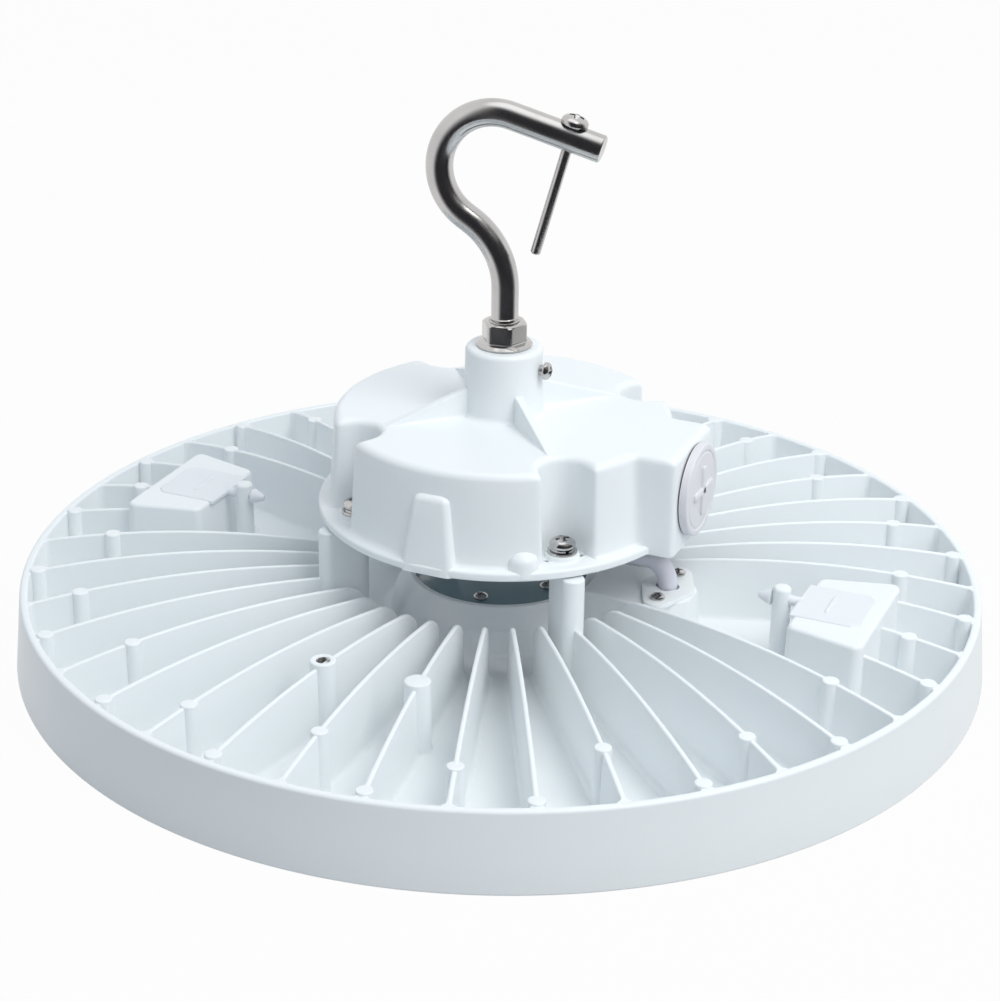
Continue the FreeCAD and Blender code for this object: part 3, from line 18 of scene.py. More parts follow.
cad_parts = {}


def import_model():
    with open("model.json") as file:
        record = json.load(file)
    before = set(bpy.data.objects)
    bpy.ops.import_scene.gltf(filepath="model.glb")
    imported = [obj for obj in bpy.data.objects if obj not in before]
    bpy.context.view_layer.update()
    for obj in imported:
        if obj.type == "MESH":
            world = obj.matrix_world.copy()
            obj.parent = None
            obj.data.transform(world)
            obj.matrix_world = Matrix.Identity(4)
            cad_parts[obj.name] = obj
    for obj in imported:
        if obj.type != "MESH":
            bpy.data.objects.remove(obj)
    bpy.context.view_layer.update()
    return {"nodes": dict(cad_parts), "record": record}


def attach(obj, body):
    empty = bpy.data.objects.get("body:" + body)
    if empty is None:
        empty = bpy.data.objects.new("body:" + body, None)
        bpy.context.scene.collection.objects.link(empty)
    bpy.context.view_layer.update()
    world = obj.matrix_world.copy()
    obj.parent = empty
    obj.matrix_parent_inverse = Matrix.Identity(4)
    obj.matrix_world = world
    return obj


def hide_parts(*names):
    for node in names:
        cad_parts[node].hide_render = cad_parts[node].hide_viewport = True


LOG = logging.getLogger("high_bay_light")
MM = 0.001
BODY = "root"
TURN = 2 * math.pi
SMOOTH_ANGLE = math.radians(38)
WHITE = (1.0, 1.0, 1.0)

Point = tuple[float, float]
Loop = list[Vector]


# ---------------------------------------------------------------- shader building

class Wire:
    """Output socket that takes part in sums; each operation adds a Math node."""

    def __init__(self, graph: "Graph", socket: bpy.types.NodeSocket) -> None:
        """Keep the socket and the graph that it belongs to."""
        self.graph = graph
        self.socket = socket

    def _math(self, operation: str, first: "Wire | float", second: "Wire | float") -> "Wire":
        """Math node on two values."""
        return self.graph.node("ShaderNodeMath", {"operation": operation}, {0: first, 1: second})

    def __add__(self, other: "Wire | float") -> "Wire":
        """Sum."""
        return self._math("ADD", self, other)

    def __sub__(self, other: "Wire | float") -> "Wire":
        """Difference."""
        return self._math("SUBTRACT", self, other)

    def __rsub__(self, other: float) -> "Wire":
        """Difference, the other way round."""
        return self._math("SUBTRACT", other, self)

    def __mul__(self, other: "Wire | float") -> "Wire":
        """Product."""
        return self._math("MULTIPLY", self, other)

    def __truediv__(self, other: "Wire | float") -> "Wire":
        """Quotient."""
        return self._math("DIVIDE", self, other)

    def clamped(self, low: float, high: float) -> "Wire":
        """Value kept between two limits."""
        return self._math("MAXIMUM", self._math("MINIMUM", self, high), low)


class Graph:
    """Node tree of one material or of the world."""

    def __init__(self, name: str, world: bool = False) -> None:
        """Make an empty tree.

        Args:
            name: name of the material or world.
            world: whether it is the world's.
        """
        self.material = (bpy.data.worlds if world else bpy.data.materials).new(name)
        self.material.use_nodes = True
        self.tree = self.material.node_tree
        self.tree.nodes.clear()
        self.end = "ShaderNodeOutputWorld" if world else "ShaderNodeOutputMaterial"

    def node(self, kind: str, settings: dict | None = None, inputs: dict | None = None,
             output: int | str = 0) -> Wire:
        """Add a node.

        Args:
            kind: Blender's type of the node.
            settings: properties, set before the inputs; "stops" fills a colour ramp.
            inputs: values or wires by input index or name.
            output: output socket to return.

        Returns:
            The chosen output.
        """
        made = self.tree.nodes.new(kind)
        for name, value in (settings or {}).items():
            if name == "stops":
                ramp = made.color_ramp
                for element, (place, colour) in zip(ramp.elements, value):
                    element.position = place
                    element.color = (*colour, 1.0)
            else:
                setattr(made, name, value)
        for key, value in (inputs or {}).items():
            if isinstance(value, Wire):
                self.tree.links.new(value.socket, made.inputs[key])
            else:
                made.inputs[key].default_value = value
        return Wire(self, made.outputs[output])

    def place(self, scale: tuple[float, float, float] = (1, 1, 1)) -> Wire:
        """Object coordinates, stretched by scale."""
        spot = self.node("ShaderNodeTexCoord", output="Object")
        return self.node("ShaderNodeMapping", {}, {"Vector": spot, "Scale": scale})

    def noise(self, size_mm: float, detail: float = 2.0,
              scale: tuple[float, float, float] = (1, 1, 1)) -> Wire:
        """Noise with features of about size_mm."""
        return self.node("ShaderNodeTexNoise", {}, {
            "Vector": self.place(scale), "Scale": 1 / (size_mm * MM), "Detail": detail})

    def blend(self, share: Wire, first: tuple, second: tuple) -> Wire:
        """Colour between two, by share."""
        return self.node("ShaderNodeMix", {"data_type": "RGBA"}, {
            0: share, 6: (*first, 1.0), 7: (*second, 1.0)}, output=2)

    def bump(self, height: Wire, depth_mm: float, strength: float = 1.0) -> Wire:
        """Normal from a height of 0 to 1 that stands for depth_mm."""
        return self.node("ShaderNodeBump", {}, {
            "Height": height, "Distance": depth_mm * MM, "Strength": strength})

    def surface(self, **inputs: "Wire | float | tuple") -> bpy.types.Material:
        """Finish the material with a Principled shader.

        Args:
            inputs: its inputs, with underscores for the spaces in their names.

        Returns:
            The material.
        """
        shader = self.node("ShaderNodeBsdfPrincipled", {},
                           {name.replace("_", " "): value for name, value in inputs.items()})
        self.node_output(shader)
        return self.material

    def node_output(self, shader: Wire) -> None:
        """Link a shader to the material's output."""
        end = self.tree.nodes.new(self.end)
        self.tree.links.new(shader.socket, end.inputs["Surface"])

    def glow(self, kind: str, colour: tuple, strength: float) -> Wire:
        """Emission or background of a colour."""
        return self.node(kind, {}, {"Color": (*colour, 1.0), "Strength": strength})

    def mixed(self, share: Wire, first: Wire, second: Wire) -> None:
        """End the tree with a mix of two shaders."""
        self.node_output(self.node("ShaderNodeMixShader", {}, {0: share, 1: first, 2: second}))

    def rays(self, *kinds: str) -> Wire:
        """1 for rays of any of the kinds."""
        path = self.tree.nodes.new("ShaderNodeLightPath")
        found = [Wire(self, path.outputs[f"Is {kind} Ray"]) for kind in kinds]
        total = found[0]
        for other in found[1:]:
            total = total + other
        return total.clamped(0.0, 1.0)


# ---------------------------------------------------------------- finishes

@dataclass(frozen=True)
class PowderCoat:
    """Satin powder coat on a casting, with its fine orange peel."""

    name: str = "powder_coat"
    colour: tuple[float, float, float] = (0.905, 0.935, 0.95)
    shade: tuple[float, float, float] = (0.89, 0.925, 0.94)
    roughness: float = 0.36
    peel_size: float = 0.9
    peel_depth: float = 0.012
    wave_size: float = 14.0
    wave_depth: float = 0.05

    def build(self) -> bpy.types.Material:
        """Return the material."""
        graph = Graph(self.name)
        cloud = graph.noise(self.wave_size * 2)
        peel = graph.noise(self.peel_size)
        wave = graph.noise(self.wave_size, 1.0)
        relief = graph.bump(peel * self.peel_depth + wave * self.wave_depth, 1.0)
        return graph.surface(
            Base_Color=graph.blend(cloud, self.colour, self.shade),
            Roughness=(cloud - 0.5) * 0.10 + (peel - 0.5) * 0.08 + self.roughness,
            Normal=relief, Coat_Weight=0.12, Coat_Roughness=0.25, Specular_IOR_Level=0.45)


@dataclass(frozen=True)
class Stainless:
    """Polished stainless steel with faint drawn streaks and fine specks."""

    name: str = "stainless"
    colour: tuple[float, float, float] = (0.60, 0.59, 0.585)
    dark: tuple[float, float, float] = (0.47, 0.46, 0.455)
    roughness: float = 0.19
    streak_size: float = 0.5
    speck_size: float = 0.45
    speck_depth: float = 0.012

    def build(self) -> bpy.types.Material:
        """Return the material."""
        graph = Graph(self.name)
        streak = graph.noise(self.streak_size, 2.0, (1.0, 1.0, 0.04))
        speck = graph.noise(self.speck_size, 3.0)
        patch = graph.noise(9.0)
        rough = (streak - 0.5) * 0.10 + (patch - 0.5) * 0.18 + self.roughness
        return graph.surface(
            Base_Color=graph.blend(patch, self.colour, self.dark), Metallic=1.0,
            Roughness=rough.clamped(0.06, 0.5), Normal=graph.bump(speck, self.speck_depth))


@dataclass(frozen=True)
class Moulded:
    """Moulded plastic, rubber or silicone with a fine grain."""

    name: str
    colour: tuple[float, float, float]
    shade: tuple[float, float, float]
    roughness: float = 0.45
    grain_size: float = 0.6
    grain_depth: float = 0.012
    coat: float = 0.0
    subsurface: float = 0.0

    def build(self) -> bpy.types.Material:
        """Return the material."""
        graph = Graph(self.name)
        cloud = graph.noise(7.0)
        grain = graph.noise(self.grain_size)
        return graph.surface(
            Base_Color=graph.blend(cloud, self.colour, self.shade),
            Roughness=(grain - 0.5) * 0.16 + (cloud - 0.5) * 0.08 + self.roughness,
            Normal=graph.bump(grain, self.grain_depth), Coat_Weight=self.coat,
            Subsurface_Weight=self.subsurface, Subsurface_Radius=(0.004, 0.003, 0.003),
            Subsurface_Scale=1.0)


@dataclass(frozen=True)
class BoardMask:
    """Solder mask of a circuit board, with tracks that show through it."""

    name: str
    colour: tuple[float, float, float]
    track: tuple[float, float, float]

    def build(self) -> bpy.types.Material:
        """Return the material."""
        graph = Graph(self.name)
        weave = graph.node("ShaderNodeTexBrick", {"offset": 0.5}, {
            "Vector": graph.place(), "Scale": 110.0, "Mortar Size": 0.03}, output="Fac")
        return graph.surface(
            Base_Color=graph.blend(weave, self.colour, self.track),
            Roughness=graph.noise(1.2) * 0.15 + 0.25, Normal=graph.bump(weave, 0.03))


@dataclass(frozen=True)
class ClearLens:
    """Clear polycarbonate with a faint frosting."""

    name: str = "clear_lens"
    tint: tuple[float, float, float] = (0.95, 0.97, 0.98)

    def build(self) -> bpy.types.Material:
        """Return the material."""
        graph = Graph(self.name)
        frost = graph.noise(1.5)
        return graph.surface(
            Base_Color=graph.blend(frost, self.tint, (0.90, 0.93, 0.94)), Roughness=frost * 0.12 + 0.05,
            Alpha=frost * 0.06 + 0.30, Normal=graph.bump(frost, 0.01), IOR=1.58)


class Slot(Enum):
    """Material slots of the record, each with the finish that dresses it."""

    CASTING = ("white_powder_coat", PowderCoat())
    STEEL = ("steel", Stainless())
    DRIVER_BOARD = ("circuit_board", BoardMask("green_board", (0.03, 0.17, 0.07), (0.05, 0.26, 0.10)))
    LED_BOARD = ("white_board", BoardMask("white_board", (0.82, 0.82, 0.80), (0.74, 0.74, 0.72)))
    PHOSPHOR = ("led_phosphor", Moulded("phosphor", (0.86, 0.66, 0.12), (0.80, 0.58, 0.10), 0.35))
    LENS = ("lens_plastic", ClearLens())
    BLACK = ("component_black", Moulded("black_moulding", (0.17, 0.28, 0.32), (0.19, 0.30, 0.34), 0.12,
                                        coat=0.4))
    RUBBER = ("dark_rubber", Moulded("dark_rubber", (0.045, 0.045, 0.05), (0.06, 0.06, 0.065), 0.62))
    SHEATH = ("white_sheath", Moulded("sheath", (0.76, 0.76, 0.83), (0.73, 0.73, 0.81), 0.38,
                                      subsurface=0.05))
    PLUG = ("white_plastic", Moulded("plug_plastic", (0.80, 0.78, 0.82), (0.775, 0.76, 0.80), 0.34))
    SILICONE = ("white_silicone", Moulded("silicone", (0.85, 0.87, 0.90), (0.835, 0.855, 0.89), 0.40,
                                          subsurface=0.08))
    SHEET = ("aluminium_plate", Moulded("plain_sheet", (0.55, 0.56, 0.58), (0.50, 0.51, 0.53), 0.4))

    @property
    def record_name(self) -> str:
        """Name of the slot in the record."""
        return self.value[0]


class Finishes:
    """Materials of the whole light, each built once."""

    def __init__(self) -> None:
        """Build every finish."""
        self.made: dict[Slot, bpy.types.Material] = {slot: slot.value[1].build() for slot in Slot}

    def __getitem__(self, slot: Slot) -> bpy.types.Material:
        """Material of a slot."""
        return self.made[slot]

    def dress_node(self, node: bpy.types.Object, slot_name: str) -> None:
        """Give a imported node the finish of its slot."""
        for slot in Slot:
            if slot.record_name == slot_name:
                for holder in node.material_slots:
                    holder.material = self.made[slot]


# ---------------------------------------------------------------- outlines

def fillet(before: Point, corner: Point, after: Point, radius: float, steps: int) -> list[Point]:
    """Round one corner of an outline.

    Args:
        before: the corner before it.
        corner: the corner.
        after: the corner after it.
        radius: radius of the round.
        steps: straight steps in the arc.

    Returns:
        Points of the arc, or the corner alone.
    """
    here = Vector(corner)
    back, ahead = Vector(before) - here, Vector(after) - here
    if radius <= 0 or back.length < 1e-9 or ahead.length < 1e-9:
        return [corner]
    half = back.angle(ahead) / 2
    if half > math.radians(89):
        return [corner]
    reach = min(radius / math.tan(half), 0.49 * back.length, 0.49 * ahead.length)
    radius = reach * math.tan(half)
    middle = here + (back.normalized() + ahead.normalized()).normalized() * radius / math.sin(half)
    start = here + back.normalized() * reach - middle
    end = here + ahead.normalized() * reach - middle
    first = math.atan2(start.y, start.x)
    sweep = (math.atan2(end.y, end.x) - first + math.pi) % TURN - math.pi
    return [(middle.x + radius * math.cos(first + sweep * step / steps),
             middle.y + radius * math.sin(first + sweep * step / steps)) for step in range(steps + 1)]


def rounded(corners: list[tuple[float, float, float]], steps: int = 5, closed: bool = True) -> list[Point]:
    """Polyline through corners, each given as x, y and the radius of its round.

    Args:
        corners: the corners.
        steps: straight steps in each round.
        closed: whether the last corner joins the first.

    Returns:
        Points of the polyline.
    """
    points: list[Point] = []
    count = len(corners)
    for index, (x, y, radius) in enumerate(corners):
        if not closed and index in (0, count - 1):
            points.append((x, y))
            continue
        before, after = corners[index - 1], corners[(index + 1) % count]
        points.extend(fillet(before[:2], (x, y), after[:2], radius, steps))
    return points


def oblong(left: float, right: float, low: float, high: float, radius: float, steps: int) -> list[Point]:
    """Rectangle with rounded corners."""
    return rounded([(left, low, radius), (right, low, radius), (right, high, radius), (left, high, radius)],
                   steps)


def quarter(steps: int, first: int = 0) -> list[tuple[float, float]]:
    """Sine and 1 - cosine at even steps over a quarter turn.

    Args:
        steps: steps in the quarter.
        first: first step that is kept.

    Returns:
        A pair for each step.
    """
    turns = [math.pi / 2 * step / steps for step in range(first, steps + 1)]
    return [(math.sin(turn), 1 - math.cos(turn)) for turn in turns]


def softened(points: list[Point], passes: int) -> list[Point]:
    """Closed polyline with its corners rounded by repeated averaging."""
    count = len(points)
    for _ in range(passes):
        points = [tuple(0.25 * points[i - 1][k] + 0.5 * points[i][k] + 0.25 * points[(i + 1) % count][k]
                        for k in (0, 1)) for i in range(count)]
    return points


def moved_out(points: list[Point], distance: float) -> list[Point]:
    """Closed outline moved outwards along its normals."""
    count = len(points)
    result = []
    for index, (x, y) in enumerate(points):
        ahead, back = points[(index + 1) % count], points[index - 1]
        along = Vector((ahead[0] - back[0], ahead[1] - back[1])).normalized()
        result.append((x + along.y * distance, y - along.x * distance))
    return result


# ---------------------------------------------------------------- meshes

def linked(name: str, data: bpy.types.ID) -> bpy.types.Object:
    """New object of the scene that holds data."""
    made = bpy.data.objects.new(name, data)
    bpy.context.scene.collection.objects.link(made)
    return made


def as_mesh(mesh_builder: bmesh.types.BMesh, name: str) -> bpy.types.Mesh:
    """Mesh from a bmesh, which is used up."""
    mesh = bpy.data.meshes.new(name)
    mesh_builder.to_mesh(mesh)
    mesh_builder.free()
    return mesh


def as_object(mesh_builder: bmesh.types.BMesh, name: str) -> bpy.types.Object:
    """Turn a bmesh in metres into a smooth object with clean outward faces."""
    bmesh.ops.remove_doubles(mesh_builder, verts=mesh_builder.verts, dist=1e-6)
    bmesh.ops.recalc_face_normals(mesh_builder, faces=mesh_builder.faces)
    mesh = as_mesh(mesh_builder, name)
    mesh.shade_smooth()
    mesh.set_sharp_from_angle(angle=SMOOTH_ANGLE)
    for polygon in mesh.polygons:
        polygon.use_smooth = len(polygon.vertices) <= 4
    return linked(name, mesh)


def add_loft(into: bmesh.types.BMesh, loops: list[Loop], last_cap: bool = True, ring: bool = False) -> None:
    """Add a skin over closed loops of equal length, in millimetres.

    Args:
        into: mesh that it is added to.
        loops: the loops, in order.
        last_cap: whether the last loop is closed.
        ring: whether the last loop joins the first, with no caps.
    """
    rows = [[into.verts.new(point * MM) for point in loop] for loop in loops]
    pairs = list(zip(rows, rows[1:])) + ([(rows[-1], rows[0])] if ring else [])
    for low, high in pairs:
        for i in range(len(low)):
            j = (i + 1) % len(low)
            into.faces.new((low[i], low[j], high[j], high[i]))
    if not ring:
        into.faces.new(rows[0])
        if last_cap:
            into.faces.new(rows[-1])


def loft(name: str, loops: list[Loop], last_cap: bool = True, ring: bool = False) -> bpy.types.Object:
    """Object from a skin over closed loops."""
    mesh_builder = bmesh.new()
    add_loft(mesh_builder, loops, last_cap, ring)
    return as_object(mesh_builder, name)


def level(points: list[Point], z: float) -> Loop:
    """Flat outline lifted to z."""
    return [Vector((x, y, z)) for x, y in points]


def standing(name: str, outline: Callable[[float], list[Point]], floor: float, flare: float, top: float,
             edge: float, inset: float = 0.0, edge_steps: int = 5) -> bpy.types.Object:
    """Upright block from its filleted foot to its rounded top edge.

    Args:
        name: name of the object.
        outline: outline by how far it is grown.
        floor: height that it stands on.
        flare: radius of the foot's fillet.
        top: height of its top.
        edge: radius of the top edge.
        inset: how far the walls have drawn in at the top.
        edge_steps: steps in the top edge.

    Returns:
        The block.
    """
    sunk = 0.3
    loops = [level(outline(flare * (1 - sine)), floor - sunk + (flare + sunk) * fall)
             for sine, fall in quarter(5)]
    loops += [level(outline(-inset - edge * fall), top - edge * (1 - sine))
              for sine, fall in quarter(edge_steps)]
    return loft(name, loops)


def turned(name: str, profile: list[Point], segments: int = 64, ring: bool = False,
           place: Matrix | None = None) -> bpy.types.Object:
    """Turn a profile of radius and height about Z.

    Args:
        name: name of the object.
        profile: radii and heights in millimetres.
        segments: steps round the axis.
        ring: whether the profile closes on itself away from the axis.
        place: where the turned shape goes, in millimetres.

    Returns:
        The object, with its place in its mesh.
    """
    place = place or Matrix.Identity(4)
    loops = [[place @ polar(max(radius, 1e-5), 360 * i / segments, height) for i in range(segments)]
             for radius, height in profile]
    return loft(name, loops, ring=ring)


def polar(radius: float, degrees: float, height: float = 0.0) -> Vector:
    """Point on a circle about Z."""
    angle = math.radians(degrees)
    return Vector((radius * math.cos(angle), radius * math.sin(angle), height))


def direction(azimuth: float, elevation: float) -> Vector:
    """Unit vector by its azimuth from -Y towards +X and its elevation, in degrees."""
    around, up = math.radians(azimuth), math.radians(elevation)
    return Vector((math.sin(around) * math.cos(up), -math.cos(around) * math.cos(up), math.sin(up)))


def placed(at: Vector, toward: Vector) -> Matrix:
    """Matrix that carries +Z to toward and the origin to at."""
    return Matrix.Translation(at) @ toward.to_track_quat("Z", "Y").to_matrix().to_4x4()


class PolarRow:
    """Geometry Nodes tree that repeats a piece round the Z axis."""

    def __init__(self) -> None:
        """Build the tree with its named inputs."""
        tree = bpy.data.node_groups.new("polar_row", "GeometryNodeTree")
        inputs = {"Geometry": "Geometry", "Piece": "Object", "Count": "Int", "Radius": "Float",
                  "Start": "Float", "Pitch": "Float", "Material": "Material"}
        for name, kind in inputs.items():
            tree.interface.new_socket(name, in_out="INPUT", socket_type="NodeSocket" + kind)
        tree.interface.new_socket("Geometry", in_out="OUTPUT", socket_type="NodeSocketGeometry")
        self.tree = tree
        self.keys = {item.name: item.identifier for item in tree.interface.items_tree
                     if item.in_out == "INPUT"}
        way_in = self._node("NodeGroupInput")
        index = self._node("GeometryNodeInputIndex")
        turn = self._math("MULTIPLY", index.outputs[0], way_in.outputs["Pitch"])
        angle = self._math("ADD", turn, way_in.outputs["Start"])
        x = self._math("MULTIPLY", self._math("COSINE", angle), way_in.outputs["Radius"])
        y = self._math("MULTIPLY", self._math("SINE", angle), way_in.outputs["Radius"])
        spot = self._node("ShaderNodeCombineXYZ", {"X": x, "Y": y})
        turned_by = self._node("ShaderNodeCombineXYZ", {"Z": angle})
        points = self._node("GeometryNodePoints", {"Count": way_in.outputs["Count"],
                                                   "Position": spot.outputs[0]})
        piece = self._node("GeometryNodeObjectInfo", {"Object": way_in.outputs["Piece"]})
        copies = self._node("GeometryNodeInstanceOnPoints", {
            "Points": points.outputs[0], "Instance": piece.outputs["Geometry"],
            "Rotation": turned_by.outputs[0]})
        real = self._node("GeometryNodeRealizeInstances", {"Geometry": copies.outputs[0]})
        finish = self._node("GeometryNodeSetMaterial", {"Geometry": real.outputs[0],
                                                        "Material": way_in.outputs["Material"]})
        self._node("NodeGroupOutput", {"Geometry": finish.outputs[0]})

    def _node(self, kind: str, inputs: dict | None = None) -> bpy.types.Node:
        """Add a node with its links."""
        made = self.tree.nodes.new(kind)
        for name, socket in (inputs or {}).items():
            self.tree.links.new(socket, made.inputs[name])
        return made

    def _math(self, operation: str, *sockets: bpy.types.NodeSocket) -> bpy.types.NodeSocket:
        """Add a Math node and return its output."""
        made = self.tree.nodes.new("ShaderNodeMath")
        made.operation = operation
        for index, socket in enumerate(sockets):
            self.tree.links.new(socket, made.inputs[index])
        return made.outputs[0]

    def repeat(self, name: str, piece: bpy.types.Object, material: bpy.types.Material, count: int,
               radius: float = 0.0, start: float = 0.0, pitch: float | None = None) -> bpy.types.Object:
        """Repeat a piece, which is used up.

        Args:
            name: name of the group.
            piece: piece at the origin, or in its place for a radius of 0.
            material: finish of the group.
            count: number of copies.
            radius: circle that they stand on, in millimetres.
            start: angle of the first, in degrees.
            pitch: angle from one to the next, or none for an even circle.

        Returns:
            One plain mesh of all the copies.
        """
        holder = linked(name + "_row", bpy.data.meshes.new(name + "_row"))
        modifier = holder.modifiers.new("row", "NODES")
        modifier.node_group = self.tree
        values = {"Piece": piece, "Count": count, "Radius": radius * MM, "Start": math.radians(start),
                  "Pitch": math.radians(360 / count if pitch is None else pitch), "Material": material}
        for label, value in values.items():
            modifier[self.keys[label]] = value
        evaluated = holder.evaluated_get(bpy.context.evaluated_depsgraph_get())
        mesh = bpy.data.meshes.new_from_object(evaluated)
        mesh.name = name
        made = linked(name, mesh)
        bpy.data.objects.remove(holder)
        bpy.data.objects.remove(piece)
        return made


@dataclass
class Workshop:
    """What every sub-assembly is built with."""

    finishes: Finishes
    row: PolarRow

    def fit(self, piece: bpy.types.Object, slot: Slot, *stands_for: str) -> bpy.types.Object:
        """Dress a piece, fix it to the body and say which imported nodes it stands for."""
        if not piece.data.materials:
            piece.data.materials.append(self.finishes[slot])
        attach(piece, BODY)
        if stands_for:
            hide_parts(*stands_for)
        LOG.info("%s: stands for %s", piece.name, ", ".join(stands_for) or "no node")
        return piece

    def ring(self, name: str, piece: bpy.types.Object, slot: Slot, count: int, *stands_for: str,
             radius: float = 0.0, start: float = 0.0, pitch: float | None = None) -> bpy.types.Object:
        """Repeat a piece round the axis and fit the group."""
        group = self.row.repeat(name, piece, self.finishes[slot], count, radius, start, pitch)
        return self.fit(group, slot, *stands_for)


# ---------------------------------------------------------------- heat sink

@dataclass
class Blade:
    """Upright rib with a tapered section, a filleted foot and a rounded crest."""

    foot: float
    half_width: float
    draft: float = 0.023
    flare: float = 2.2
    crest: float = 0.7

    def section(self, radius: float, top: float, share: float = 1.0, spread: float = 0.0) -> Loop:
        """Closed section across the rib.

        Args:
            radius: distance from the axis.
            top: height of the crest.
            share: how much of the full width it has.
            spread: extra half width, where it runs into a wall.

        Returns:
            The section's points.
        """
        height = max(top - self.foot, self.flare + self.crest)
        sunk, half = 0.2, self.half_width + spread
        side = [(half + self.flare * (1 - sine), self.foot - sunk + (self.flare + sunk) * fall)
                for sine, fall in quarter(5)]
        upper = half - self.draft * height
        crest = min(self.crest, upper)
        side += [(upper - crest * fall, self.foot + height - crest * (1 - sine)) for sine, fall in quarter(5)]
        points = [(-y, z) for y, z in side] + [(y, z) for y, z in reversed(side)]
        return [Vector((radius, y * share, z)) for y, z in points]


@dataclass
class HeatSink:
    """Round casting with its fins, hub, bosses and posts; its selector boxes are built by SelectorBoxes."""

    shop: Workshop
    floor: float = 11.4
    rim_top: float = 29.4
    rim_radius: float = 180.0
    rim_flare: float = 2.8
    rim_wall: float = 3.0
    lens_radius: float = 173.8
    cavity_roof: float = 8.4
    hub_inner: float = 33.0
    hub_top: float = 28.4
    hub_recess: float = 21.4
    hub_lip: float = 2.0
    hub_web: float = 4.0
    hub_shoulder: float = 40.0
    hub_foot: float = 42.5
    fin_inner: float = 57.5
    fin_pitch: float = 9.0
    fin_half_width: float = 1.4
    shoulder_radius: float = 67.5
    shoulder_top: float = 35.0
    tip_top: float = 25.4
    crown_bow: float = 380.0
    short_fin_inner: float = 144.6
    pin_radius: float = 3.0
    pin_slope: float = 0.15
    tall_radius: float = 4.6
    tall_top: float = 38.0
    tall_circle: float = 114.0
    bracket_hole: float = 2.5
    post_top: float = 54.6
    post_circle: float = 57.5
    post_radius: float = 4.35
    lobe_gap: float = 10.5
    lobe_radius: float = 4.1

    def crown(self, radius: float) -> float:
        """Height of the fins' crest at a radius."""
        if radius < self.shoulder_radius:
            reach = self.shoulder_radius - self.fin_inner
            across = min((self.shoulder_radius - radius) / reach, 1.0)
            return self.tip_top + (self.shoulder_top - self.tip_top) * math.sqrt(1 - across ** 2)
        end = self.rim_radius - self.rim_wall
        run, fall = end - self.shoulder_radius, self.rim_top - self.shoulder_top
        share = (radius - self.shoulder_radius) / run
        bow = run * run * share * (1 - share) / (2 * self.crown_bow)
        return self.shoulder_top + fall * min(share, 1.0) + max(bow, 0.0)

    def shell(self) -> bpy.types.Object:
        """Rim, floor and hub in one turned skin."""
        outer, inner = self.rim_radius + self.rim_flare, self.rim_radius - self.rim_wall
        profile = rounded([
            (0.0, self.hub_recess, 0.0),
            (self.hub_inner, self.hub_recess, 0.8),
            (self.hub_inner, self.hub_top, 0.5),
            (self.hub_inner + self.hub_lip, self.hub_top, 1.2),
            (self.hub_shoulder, self.floor + 9.0, 3.0),
            (self.hub_foot, self.floor, 4.5),
            (inner - 0.4, self.floor, 3.5),
            (inner, self.rim_top, 0.9),
            (self.rim_radius, self.rim_top, 1.3),
            (outer, 0.0, 0.8),
            (self.lens_radius, 0.0, 0.6),
            (self.lens_radius, self.cavity_roof, 0.5),
            (self.hub_inner, self.cavity_roof, 1.0),
            (self.hub_inner, self.hub_recess - self.hub_web, 1.0),
            (0.0, self.hub_recess - self.hub_web, 0.0),
        ], steps=6, closed=False)
        return turned("sink_shell", profile, segments=288)

    def fin(self, name: str, inner: float) -> bpy.types.Object:
        """One fin along +X from an inner radius to the rim."""
        blade = Blade(self.floor, self.fin_half_width)
        wall = self.rim_radius - self.rim_wall
        nose, corner = 1.3, 2.4
        sections = [blade.section(inner + nose * fall, self.crown(inner + nose * fall), max(sine, 0.03))
                    for sine, fall in quarter(6)]
        start = inner + nose
        if inner < self.shoulder_radius:
            reach = self.shoulder_radius - self.fin_inner
            for step in range(1, 11):
                radius = self.shoulder_radius - reach * math.cos(math.radians(30 + 60 * step / 10))
                if radius > start:
                    sections.append(blade.section(radius, self.crown(radius)))
            start = self.shoulder_radius
        steps = max(4, round((wall - corner - start) / 5.5))
        for step in range(1, steps + 1):
            radius = start + (wall - corner - start) * step / steps
            sections.append(blade.section(radius, self.crown(radius)))
        for step in range(1, 6):
            across = step / 5
            spread = corner * (1 - math.sqrt(1 - (across * 0.96) ** 2))
            radius = wall - corner + corner * across
            sections.append(blade.section(radius, self.crown(radius), spread=spread))
        sections.append(blade.section(wall + 1.0, self.rim_top - 0.4, spread=corner))
        return loft(name, sections)

    def fins(self) -> None:
        """Long fins on both sides and short ones outside the selector boxes."""
        rows = (("fins_back", self.fin_inner, 17, 18.0), ("fins_front", self.fin_inner, 17, 198.0),
                ("short_fins_right", self.short_fin_inner, 3, -9.0),
                ("short_fins_left", self.short_fin_inner, 3, 171.0))
        for name, inner, count, start in rows:
            self.shop.ring(name, self.fin("fin", inner), Slot.CASTING, count, "housing", start=start,
                           pitch=self.fin_pitch)

    def boss(self, name: str, radius: float, top: float, hole: float = 0.0, depth: float = 12.0,
             flare: float = 1.6) -> bpy.types.Object:
        """Round boss on the floor, with an open hole where one is asked for."""
        corners = [(radius + flare + 0.4, self.floor - 0.4, 0.0), (radius + 0.25, self.floor + 0.2, flare),
                   (radius, top, 0.55)]
        if hole:
            corners += [(hole, top, 0.35), (hole, top - depth, 0.3), (0.0, top - depth, 0.0)]
        else:
            corners += [(0.0, top, 0.0)]
        return turned(name, rounded(corners, closed=False), segments=40)

